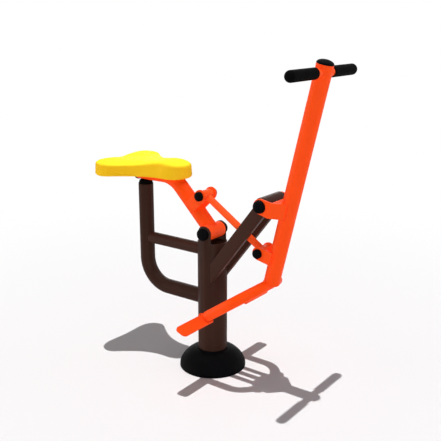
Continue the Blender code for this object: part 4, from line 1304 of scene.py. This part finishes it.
@dataclass
class Seat:
    """Moulded saddle shell with its bolt bosses."""

    rim: float = 744.0
    top: float = 799.0
    nose: float = -117.0
    length: float = 365.6
    half_width: float = 170.0
    wall: float = 5.0
    roll: float = 9.0
    edge: float = 12.0
    crown: float = 3.0
    draft: float = 2.0
    steps: int = 5
    stations: tuple[tuple[float, float], ...] = (
        (0.000, 0.000), (0.010, 0.130), (0.040, 0.262), (0.088, 0.340), (0.160, 0.386),
        (0.240, 0.386), (0.325, 0.402), (0.410, 0.450), (0.500, 0.532), (0.582, 0.636),
        (0.655, 0.750), (0.722, 0.868), (0.775, 0.958), (0.838, 1.000), (0.910, 0.955),
        (0.968, 0.850), (1.000, 0.640), (0.997, 0.330), (0.988, 0.000))
    contour: tuple[tuple[float, float, float], ...] = (
        (-128, 0, -1), (-142, 36, 3), (-153, 47, 6), (-176, 55, 12), (-205, 55, 15),
        (-236, 57, 10), (-267, 66, 2), (-304, 80, -5), (-336, 99, -7), (-364, 119, -8),
        (-389, 140, -8), (-406, 153, -5), (-424, 159, 0), (-445, 152, 3), (-462, 138, 4.5),
        (-472, 107, 5), (-471, 55, 2), (-468, 0, -4), (-150, 0, 5), (-175, 0, 12), (-200, 0, 14),
        (-225, 0, 12), (-255, 0, 6), (-290, 0, 1), (-340, 0, 0), (-400, 0, -2), (-450, 0, -4.5),
        (-440, 110, 2), (-400, 100, 0), (-360, 70, 0), (-300, 50, 0), (-250, 40, 6))
    reach: float = 22.0
    bosses: tuple[tuple[float, float], ...] = ((-263.0, 800.0), (-357.0, 796.0))
    boss_side: float = 41.0
    boss_foot: float = 780.6
    boss_bore: float = 4.3

    def build(self) -> None:
        """Build and dress the sub-assembly."""
        fit(self.shell(), SEAT_YELLOW, Body.SEAT_ARM, "seat")

    def rise(self, place: Vector) -> float:
        """Return how far the saddle's top stands above a plain one at a place.

        Args:
            place: The place, in metres.

        Returns:
            The height in metres, weighed from the contour's places near it.
        """
        total = share = 0.0
        for back, out, height in self.contour:
            off = (place.x / MM - back) ** 2 + (abs(place.y) / MM - out) ** 2
            weight = math.exp(-off / (2.0 * self.reach ** 2)) + 1e-9
            total += weight * height
            share += weight
        return total / share * MM

    def outline(self) -> list[Vector]:
        """Return the smooth outline at the rim's height, round from the nose.

        Returns:
            Places in metres.
        """
        keys = [Vector((self.nose - self.length * back, self.half_width * out))
                for back, out in self.stations]
        row = [Vector((keys[1].x, -keys[1].y))] + keys + [Vector((keys[-2].x, -keys[-2].y))]
        half = []
        for one, two, three, four in zip(row, row[1:], row[2:], row[3:]):
            for step in range(self.steps):
                t = step / self.steps
                half.append(0.5 * ((2.0 * two) + (three - one) * t
                                   + (2.0 * one - 5.0 * two + 4.0 * three - four) * t * t
                                   + (3.0 * two - one - 3.0 * three + four) * t ** 3))
        half.append(keys[-1])
        loop = half + [Vector((point.x, -point.y)) for point in half[-2:0:-1]]
        return [at(point.x, -point.y, self.rim) for point in loop]

    def shell(self) -> Thing:
        """Mould the shell: side wall, rounded shoulder, crowned top, rolled rim and bosses.

        Returns:
            The seat.
        """
        path = [place + UP * self.roll * MM for place in self.outline()]
        piece = Workpiece.ring("saddle_shell", 100.0, at(-300.0, 0.0, self.rim), UP, len(path))
        piece.lay(path)
        piece.whole()
        piece.fill()
        self.face_up(piece)
        turns = [QUARTER * step / 7 for step in range(8)]
        steps = [(self.draft, self.top - self.crown - self.edge - self.rim - self.roll)]
        steps += [(self.edge * (math.cos(one) - math.cos(two)),
                   self.edge * (math.sin(two) - math.sin(one)))
                  for one, two in zip(turns, turns[1:])]
        steps += [(7.0, self.crown * 0.45), (8.0, self.crown * 0.33), (8.0, self.crown * 0.22)]
        for inwards, rise in steps:
            bpy.ops.mesh.inset(thickness=inwards * MM, depth=rise * MM)
        cuts = [(at(self.nose - 15.0 * number, 0.0, 0.0), ALONG) for number in range(1, 24)]
        cuts += [(at(0.0, 15.0 * number, 0.0), ACROSS) for number in range(-9, 10)]
        for place, normal in cuts:
            piece.pick(lambda point: point.z > self.top * MM - TINY)
            bpy.ops.mesh.bisect(plane_co=place, plane_no=normal)
        low = (self.rim + self.roll) * MM
        for one, two in zip(turns[:5], turns[1:6]):
            piece.pick(lambda point: point.z < low + TINY)
            down = self.roll * (math.sin(two) - math.sin(one)) / math.sin(turns[5])
            piece.extrude(UP * -down * MM)
            bpy.ops.transform.shrink_fatten(value=-self.roll * (math.cos(one) - math.cos(two)) * MM)
            low -= down * MM
        bpy.ops.object.mode_set(mode="OBJECT")
        for point in piece.thing.data.vertices:
            up = max(0.0, (point.co.z / MM - self.rim) / (self.top - self.rim))
            point.co.z += self.rise(point.co) * up ** 3
        apply_modifier(piece.thing, "SOLIDIFY", thickness=self.wall * MM, offset=-1.0,
                       use_even_offset=True)
        ease(piece.thing, 1.6)
        bosses = [self.boss(x, y, end) for x, end in self.bosses
                  for y in (-self.boss_side, self.boss_side)]
        return joined("saddle_shell", piece.thing, *bosses)

    def face_up(self, piece: Workpiece) -> None:
        """Turn the flat outline's face upwards.

        Args:
            piece: The seat, in edit mode.
        """
        shape = bmesh.from_edit_mesh(piece.thing.data)
        shape.faces.ensure_lookup_table()
        if shape.faces[0].normal.z < 0.0:
            bpy.ops.mesh.flip_normals()

    def boss(self, x: float, y: float, end: float) -> Thing:
        """Turn one hollow bolt boss, up to the height where it ends in the shell.

        Args:
            x: Where it stands, forward.
            y: Where it stands, to the side.
            end: The height where it ends.

        Returns:
            The boss.
        """
        bore, foot = self.boss_bore, self.boss_foot
        profile = [(bore, foot), (10.2, foot), (11.0, foot + 0.8), (11.4, end), (bore, end),
                   (bore, foot)]
        return turned("seat_boss", profile, at(x, y, 0.0), UP, 32)


@dataclass
class LinkRod:
    """Rod with an eye at each end, which joins the seat arm to the lever."""

    top: Vector
    foot: Vector
    radius: float = 13.5
    eye_radius: float = 19.0
    eye_half: float = 28.61
    bore: float = 14.3

    def build(self, frame: dict) -> None:
        """Build and dress the sub-assembly.

        Args:
            frame: The loaded frame.
        """
        fit(self.rod(), ORANGE, Body.LINK, "link_rod")
        fit(self.welds(), ORANGE_WELD, Body.LINK)
        keep(frame, BUSH_NYLON, "link_bush_upper", "link_bush_lower")

    def axis(self) -> Vector:
        """Return the direction down the rod."""
        return (self.foot - self.top).normalized()

    def rod(self) -> Thing:
        """Draw the rod between its two turned eyes.

        Returns:
            The rod.
        """
        inset = self.axis() * 16.0 * MM
        rod = swept("link_bar", [self.top + inset, self.foot - inset], 0.0, self.radius, 40).done()
        eyes = [sleeve(name, place, self.eye_half, self.eye_radius, self.bore, 0.8, 48)
                for name, place in (("top_eye", self.top), ("foot_eye", self.foot))]
        return joined("link_bar", rod, *eyes)

    def welds(self) -> Thing:
        """Lay the beads where the rod meets its eyes.

        Returns:
            The beads, as one piece.
        """
        middle, section = (self.top + self.foot) / 2.0, round_section(self.radius, 32)
        ends = (("top_eye_weld", self.top, -self.axis()), ("foot_eye_weld", self.foot, self.axis()))
        beads = [butt_weld(name, section, middle, heading, Barrel(place, ACROSS, self.eye_radius))
                 for name, place, heading in ends]
        return joined("link_welds", *beads)


@dataclass
class Lever:
    """Handle lever: its post, top plug, handlebar, grips and the fork that it turns on."""

    pivot: Vector
    foot: Vector
    top: Vector
    foot_cut: float = 398.5
    radius: float = 30.0
    bar_below: float = 28.3
    bar_radius: float = 15.5
    grip_radius: float = 19.5
    grip_start: float = 54.0
    grip_end: float = 223.0
    fork_width: float = 58.0
    fork_thick: float = 10.0
    fork_inner: float = 64.3
    fork_bend: float = 38.0
    fork_tip: float = 27.5
    web_rise: float = 25.9
    web_thick: float = 5.0
    cap_radius: float = 24.0
    cap_collar: float = 3.5
    cap_dome: float = 17.9
    cap_seat: float = 74.6

    def build(self, frame: dict) -> None:
        """Build and dress the sub-assembly.

        Args:
            frame: The loaded frame.
        """
        fit(self.post(), ORANGE, Body.LEVER, "lever_post")
        fit(self.plug(), BLACK_CAP, Body.LEVER, "lever_top_cap")
        fit(self.handlebar(), ORANGE, Body.LEVER, "handlebar")
        fit_pair(self.grip(), BLACK_GRIP, Body.LEVER, "grip")
        fit_pair(self.fork(), ORANGE, Body.LEVER, "fork_plate")
        fit(self.webs(), ORANGE, Body.LEVER)
        fit_pair(self.cap(), BLACK_CAP, Body.LEVER, "lever_pivot_cap")
        fit(self.welds(), ORANGE_WELD, Body.LEVER)
        keep(frame, ZINC, "lever_axle", "lever_axle_nut")

    def axis(self) -> Vector:
        """Return the direction up the lever."""
        return (self.top - self.foot).normalized()

    def ahead(self) -> Vector:
        """Return the direction square to the lever, away from the seat."""
        return self.axis().cross(-ACROSS)

    def bar(self) -> Vector:
        """Return the handlebar's middle."""
        return self.top - self.axis() * self.bar_below * MM

    def fork_middle(self) -> float:
        """Return how far the fork plates' middles stand to the side."""
        return self.fork_inner + self.fork_thick / 2.0

    def post(self) -> Thing:
        """Draw the lever's tube and cut its foot level.

        Returns:
            The lever's tube.
        """
        piece = swept("lever_tube", [self.foot - self.axis() * 40.0 * MM, self.top], 0.0,
                      self.radius, 56)
        piece.trim(at(0.0, 0.0, self.foot_cut), UP, clear_inner=True)
        return ease(piece.done(), 0.8)

    def plug(self) -> Thing:
        """Turn the black plug in the lever's top.

        Returns:
            The plug.
        """
        profile = [(0.0, -8.0), (STEM, -8.0), (STEM, 0.3), (29.4, 0.3), (30.0, 0.9),
                   (30.0, 2.7), (29.5, 3.3)] + dome(29.5, 3.3, 12.0, 16, 1.8)[1:]
        return turned("lever_plug", profile, self.top, self.axis())

    def handlebar(self) -> Thing:
        """Draw the cross bar through the lever.

        Returns:
            The cross bar.
        """
        reach = ACROSS * (self.grip_end - self.grip_radius - 2.0) * MM
        ends = [self.bar() - reach, self.bar() + reach]
        return swept("cross_bar", ends, 0.0, self.bar_radius, 40).done()

    def grip(self) -> Thing:
        """Turn the right grip: a rolled start, a shallow ring groove and a round end.

        Returns:
            The grip.
        """
        radius, length = self.grip_radius, self.grip_end - self.grip_start
        profile = [(self.bar_radius + 0.2, 0.0), (radius - 2.2, 0.0), (radius - 0.8, 0.7),
                   (radius, 2.4), (radius, 7.0), (radius - 0.7, 7.8), (radius - 0.7, 8.8),
                   (radius, 9.6), (radius, 60.0), (radius, 110.0)]
        profile += dome(radius, length - radius, radius, 18)
        return turned("hand_grip_right", profile, self.bar() - ACROSS * self.grip_start * MM,
                      -ACROSS, 56)

    def fork(self) -> Thing:
        """Cut and fold the right fork plate, which closes in on the lever's tube.

        Returns:
            The fork plate.
        """
        ahead = self.ahead()
        centre = self.pivot - ACROSS * self.fork_middle() * MM
        fold = centre + ahead * self.fork_bend * MM
        piece = tab("fork_cheek_right", centre, fold, self.fork_tip)
        piece.pick(lambda place: (place - fold).dot(ahead) > -TINY)
        piece.resize(self.fork_width / 2.0 / self.fork_tip, fold)
        run = (self.foot - self.pivot).dot(ahead) / MM - self.fork_bend
        piece.extrude((ahead + ACROSS) * run * MM)
        piece.pick_edges(lambda *ends: all(abs((end - fold).dot(ahead)) < TINY for end in ends))
        piece.bevel(3.0, 3)
        plate = piece.done()
        apply_modifier(plate, "SOLIDIFY", thickness=self.fork_thick * MM, offset=0.0,
                       use_even_offset=True)
        return ease(plate, 1.3)

    def webs(self) -> Thing:
        """Cut the two plates that close the fork above and below, narrowing to the tube.

        Returns:
            The two plates, as one piece.
        """
        ahead, axis, wide = self.ahead(), self.axis(), self.fork_middle()
        turn = Matrix((ahead, ACROSS, axis)).transposed()
        start, end = self.fork_bend, (self.foot - self.pivot).dot(ahead) / MM
        plates = []
        for side in (-1.0, 1.0):
            middle = self.pivot + (ahead * (start + end) / 2.0 + axis * side * self.web_rise) * MM
            piece = Workpiece.block("fork_webs", at(end - start, 2.0 * wide, self.web_thick),
                                    middle, turn)
            piece.pick(lambda place: (place - middle).dot(ahead) > 0.0)
            bpy.ops.transform.resize(value=(1.0, (wide - end + start) / wide, 1.0),
                                     center_override=middle)
            plates.append(ease(piece.done(), 1.2))
        return joined("fork_webs", *plates)

    def cap(self) -> Thing:
        """Turn the right cap over the lever axle's end.

        Returns:
            The cap.
        """
        radius, collar = self.cap_radius, self.cap_collar
        profile = [(0.0, 0.0), (radius - 0.5, 0.0), (radius, 0.5), (radius, collar - 0.6),
                   (radius - 0.5, collar)] + dome(radius - 0.5, collar, self.cap_dome, 18)[1:]
        return turned("lever_axle_cap_right", profile, self.pivot - ACROSS * self.cap_seat * MM,
                      -ACROSS)

    def welds(self) -> Thing:
        """Lay the beads at the fork plates' tips and round the handlebar.

        Returns:
            The beads, as one piece.
        """
        tube, ahead = Barrel(self.foot, self.axis(), self.radius), self.ahead()
        plate = box_section(self.fork_thick / 2.0, self.fork_width / 2.0, 1.3)
        bar = round_section(self.bar_radius, 32)
        beads = []
        for side in (-1.0, 1.0):
            out = ACROSS * side
            place = self.pivot + (ahead * self.fork_bend + out * self.fork_middle()) * MM
            beads += [butt_weld("fork_tip_weld", plate, place, (ahead - out).normalized(), tube,
                                (ahead + out).normalized()),
                      butt_weld("bar_weld", bar, self.bar() + out * 0.1, -out, tube, self.axis())]
        return joined("lever_welds", *beads)


@dataclass
class Footrest:
    """U-shaped tube under the lever's foot, with a pedal on each end."""

    front: Vector
    lever: Barrel
    slope: float = 34.9
    radius: float = 20.0
    half: float = 127.0
    square_cut: float = 232.0
    bend: float = 112.0
    pedal_x: float = 61.8
    pedal_z: float = 251.0
    pedal_width: float = 51.0
    pedal_thick: float = 10.0
    pedal_tilt: float = 21.0
    pedal_inner: float = 108.0
    pedal_outer: float = 278.0
    pedal_corner: float = 17.0

    def build(self) -> None:
        """Build and dress the sub-assembly."""
        fit(self.tube(), ORANGE, Body.LEVER, "footrest_tube")
        fit_pair(self.pedal(), ORANGE, Body.LEVER, "pedal")
        fit(self.welds(), ORANGE_WELD, Body.LEVER)

    def down(self) -> Vector:
        """Return the direction down the footrest's legs."""
        turn = math.radians(self.slope)
        return Vector((-math.cos(turn), 0.0, -math.sin(turn)))

    def tilt(self) -> Matrix:
        """Return the pedals' turn about the Y axis."""
        return Matrix.Rotation(math.radians(self.pedal_tilt), 3, "Y")

    def pedal_middle(self) -> Vector:
        """Return the pedals' middle line."""
        return at(self.pedal_x, 0.0, self.pedal_z)

    def tube(self) -> Thing:
        """Bend the footrest's tube and trim its feet on the pedals' tops.

        Returns:
            The footrest's tube.
        """
        down, normal, half = self.down(), self.tilt() @ UP, ACROSS * self.half * MM
        run = (self.front.x - (self.pedal_x - self.pedal_width / 3.0) * MM) / -down.x
        left, right = self.front + half, self.front - half
        piece = swept("footrest_bow", [right + down * run, right, left, left + down * run],
                      self.bend, self.radius, 48, 24)
        piece.trim(self.pedal_middle() + normal * 3.0 * MM, normal, clear_inner=True)
        piece.trim(self.front + down * self.square_cut * MM, down, clear_outer=True)
        return piece.done()

    def pedal(self) -> Thing:
        """Press the right foot plate, with round outer corners and eased edges.

        Returns:
            The foot plate.
        """
        normal = self.tilt() @ UP
        inner, outer = -self.pedal_inner, -self.pedal_outer
        centre = self.pedal_middle() + ACROSS * (inner + outer) / 2.0 * MM
        piece = Workpiece.block("foot_plate_right",
                                at(self.pedal_width, inner - outer, self.pedal_thick), centre,
                                self.tilt())
        piece.pick_edges(lambda one, two: abs((one - two).normalized().dot(normal)) > 0.99
                         and one.y < (outer + 1.0) * MM)
        piece.bevel(self.pedal_corner, 12)
        return ease(piece.done(), 2.4)

    def welds(self) -> Thing:
        """Lay the beads at the lever's foot and round the feet on the pedals.

        Returns:
            The beads, as one piece.
        """
        beads = []
        ahead = self.lever.axis.cross(-ACROSS)
        for side in (-1.0, 1.0):
            arc = []
            for step in range(25):
                turn = math.radians(-78.0 + 156.0 * step / 24)
                out = Vector((math.sin(turn), 0.0, math.cos(turn)))
                place = self.front + out * self.radius * MM
                off = (place - self.lever.place).dot(ahead) / MM
                reach = math.sqrt(max(0.0, self.lever.radius ** 2 - off ** 2))
                arc.append(place + ACROSS * side * reach * MM)
            beads += [weld("lever_foot_weld", arc, closed=False), self.foot_weld(side)]
        return joined("footrest_welds", *beads)

    def foot_weld(self, side: float) -> Thing:
        """Lay the bead round one foot, on the pedal's top face.

        Args:
            side: 1 on the left and -1 on the right.

        Returns:
            The bead.
        """
        down, normal = self.down(), self.tilt() @ UP
        face = self.pedal_middle() + normal * (self.pedal_thick / 2.0) * MM
        level = down.cross(ACROSS)
        start = self.front + ACROSS * side * self.half * MM
        path = []
        for one, two in round_section(self.radius, 36):
            place = start + (ACROSS * one + level * two) * MM
            path.append(place + down * ((face - place).dot(normal) / down.dot(normal)))
        return weld("foot_weld", path, 2.2)


@dataclass
class Studio:
    """Pale floor, plain light and the camera."""

    floor_size: float = 40.0
    floor_colour: str = "#e8e6e6"
    fade: tuple[float, float] = (0.45, 2.8)
    sun: float = 2.82
    soft: float = 2.75
    fill: float = 0.82
    sides: tuple[tuple[float, float], ...] = ((-54.0, 1.0), (36.0, 0.72), (126.0, 1.0),
                                              (216.0, 1.0))
    spreads: tuple[float, float, float] = (0.5, 70.0, 40.0)
    ambient: float = 0.22
    tint: tuple[float, float, float, float] = (0.97, 1.0, 1.07, 1.0)
    eye: tuple[float, float, float] = (1590.64, -2102.13, 1335.61)
    look: tuple[float, float, float] = (-0.5719, 0.7746, -0.2698)
    lens: float = 58.69

    def build(self) -> None:
        """Build the stage."""
        self.lamps(self.floor())
        self.room()
        self.camera()

    def floor(self) -> Thing:
        """Lay the floor, which fades to white far from the machine.

        Returns:
            The floor.
        """
        choose()
        bpy.ops.mesh.primitive_plane_add(size=self.floor_size)
        floor = bpy.context.active_object
        floor.name = "studio_floor"
        made = bpy.data.materials.new("painted floor, warm white")
        made.use_nodes = True
        tree = made.node_tree
        shader = tree.nodes["Principled BSDF"]
        shader.inputs["Base Color"].default_value = tone(self.floor_colour)
        shader.inputs["Roughness"].default_value = 0.9
        shader.inputs["Specular IOR Level"].default_value = 0.0
        far = add_node(tree, "ShaderNodeVectorMath",
                       {0: add_node(tree, "ShaderNodeTexCoord").outputs["Object"]},
                       operation="LENGTH")
        share = add_node(tree, "ShaderNodeMapRange",
                         {"Value": far.outputs["Value"], "From Min": self.fade[0],
                          "From Max": self.fade[1]}, interpolation_type="SMOOTHSTEP")
        seen = add_node(tree, "ShaderNodeLightPath").outputs["Is Camera Ray"]
        share = add_node(tree, "ShaderNodeMath", {0: share.outputs["Result"], 1: seen},
                         operation="MULTIPLY")
        white = add_node(tree, "ShaderNodeEmission", {"Color": WHITE})
        mix = add_node(tree, "ShaderNodeMixShader",
                       {0: share.outputs["Value"], 1: shader.outputs["BSDF"],
                        2: white.outputs["Emission"]})
        tree.links.new(mix.outputs["Shader"], tree.nodes["Material Output"].inputs["Surface"])
        floor.data.materials.append(made)
        return floor

    def lamps(self, floor: Thing) -> None:
        """Hang a crisp and a soft lamp overhead, and four shadowless lamps at the sides.

        Args:
            floor: The floor, which the crisp lamp lights and the soft one leaves to it.
        """
        crisp_spread, soft_spread, side_spread = self.spreads
        crisp = self.lamp("overhead_floor", -UP, self.sun, crisp_spread, True)
        soft = self.lamp("overhead_soft", -UP, self.soft, soft_spread, True)
        for lamp, state in ((crisp, "INCLUDE"), (soft, "EXCLUDE")):
            group = bpy.data.collections.new(lamp.name + "_reach")
            group.objects.link(floor)
            group.collection_objects[0].light_linking.link_state = state
            lamp.light_linking.receiver_collection = group
        for number, (turn, share) in enumerate(self.sides):
            angle = math.radians(turn)
            heading = Vector((-math.cos(angle), -math.sin(angle), 0.0))
            self.lamp(f"side_{number + 1}", heading, self.fill * share, side_spread, False)

    def lamp(self, name: str, heading: Vector, strength: float, spread: float,
             shadow: bool) -> Thing:
        """Hang one far lamp that shines along a heading.

        Args:
            name: The lamp's name.
            heading: The direction of its light.
            strength: Its strength.
            spread: Its angle in degrees.
            shadow: Whether it throws shadows.

        Returns:
            The lamp.
        """
        bpy.ops.object.light_add(type="SUN", location=heading.normalized() * -4.0,
                                 rotation=heading.to_track_quat("-Z", "Y").to_euler())
        lamp = bpy.context.active_object
        lamp.name = name + "_lamp"
        lamp.data.energy = strength
        lamp.data.angle = math.radians(spread)
        lamp.data.use_shadow = shadow
        return lamp

    def room(self) -> None:
        """Light the room evenly, and show it white to the camera and in reflections."""
        world = bpy.data.worlds.new("studio_room")
        world.use_nodes = True
        tree = world.node_tree
        tree.nodes.clear()
        path = add_node(tree, "ShaderNodeLightPath").outputs
        seen = path["Is Camera Ray"]
        for ray in ("Is Glossy Ray", "Is Transmission Ray"):
            seen = add_node(tree, "ShaderNodeMath", {0: seen, 1: path[ray]},
                            operation="MAXIMUM").outputs["Value"]
        soft = add_node(tree, "ShaderNodeBackground",
                        {"Color": self.tint, "Strength": self.ambient})
        white = add_node(tree, "ShaderNodeBackground", {"Color": WHITE, "Strength": 1.0})
        mix = add_node(tree, "ShaderNodeMixShader",
                       {0: seen, 1: soft.outputs["Background"], 2: white.outputs["Background"]})
        add_node(tree, "ShaderNodeOutputWorld", {"Surface": mix.outputs["Shader"]})
        bpy.context.scene.world = world

    def camera(self) -> None:
        """Set the camera at the photograph's angle."""
        heading = Vector(self.look)
        bpy.ops.object.camera_add(location=Vector(self.eye) * MM,
                                  rotation=heading.to_track_quat("-Z", "Y").to_euler())
        camera = bpy.context.active_object
        camera.data.lens = self.lens
        camera.data.sensor_width = 36.0
        bpy.context.scene.camera = camera


def main() -> None:
    """Load the frame, build and dress every sub-assembly, and set the stage."""
    logging.basicConfig(level=logging.INFO, format="%(name)s: %(message)s")
    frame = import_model()
    bpy.context.scene.view_settings.view_transform = "Standard"
    arm, arms = SeatArm(), FrontArms()
    lever = Lever(arms.pivot(), at(270.0, 0.0, 400.0), at(457.5, 0.0, 1196.5))
    link = LinkRod(at(-31.0, 0.0, 694.0), at(234.0, 0.0, 520.0))
    GroundPost().build(frame)
    RearStop().build()
    arms.build(frame)
    arm.build(frame)
    pivot = at(0.0, 0.0, arm.pivot)
    beside = pivot + arm.axis() * (link.top - pivot).dot(arm.axis())
    arm_root = beside + (link.top - beside).normalized() * 8.0 * MM
    LinkPivot("upper", link.top, arm_root, Body.SEAT_ARM).build(frame)
    Seat().build()
    link.build(frame)
    lever.build(frame)
    behind = (lever.foot - link.foot).dot(lever.ahead())
    post_root = link.foot + lever.ahead() * (behind - 8.0 * MM)
    LinkPivot("lower", link.foot, post_root, Body.LEVER).build(frame)
    Footrest(at(262.0, 0.0, lever.foot_cut), Barrel(lever.foot, lever.axis(), lever.radius)).build()
    Studio().build()


if __name__ == "__main__":
    main()
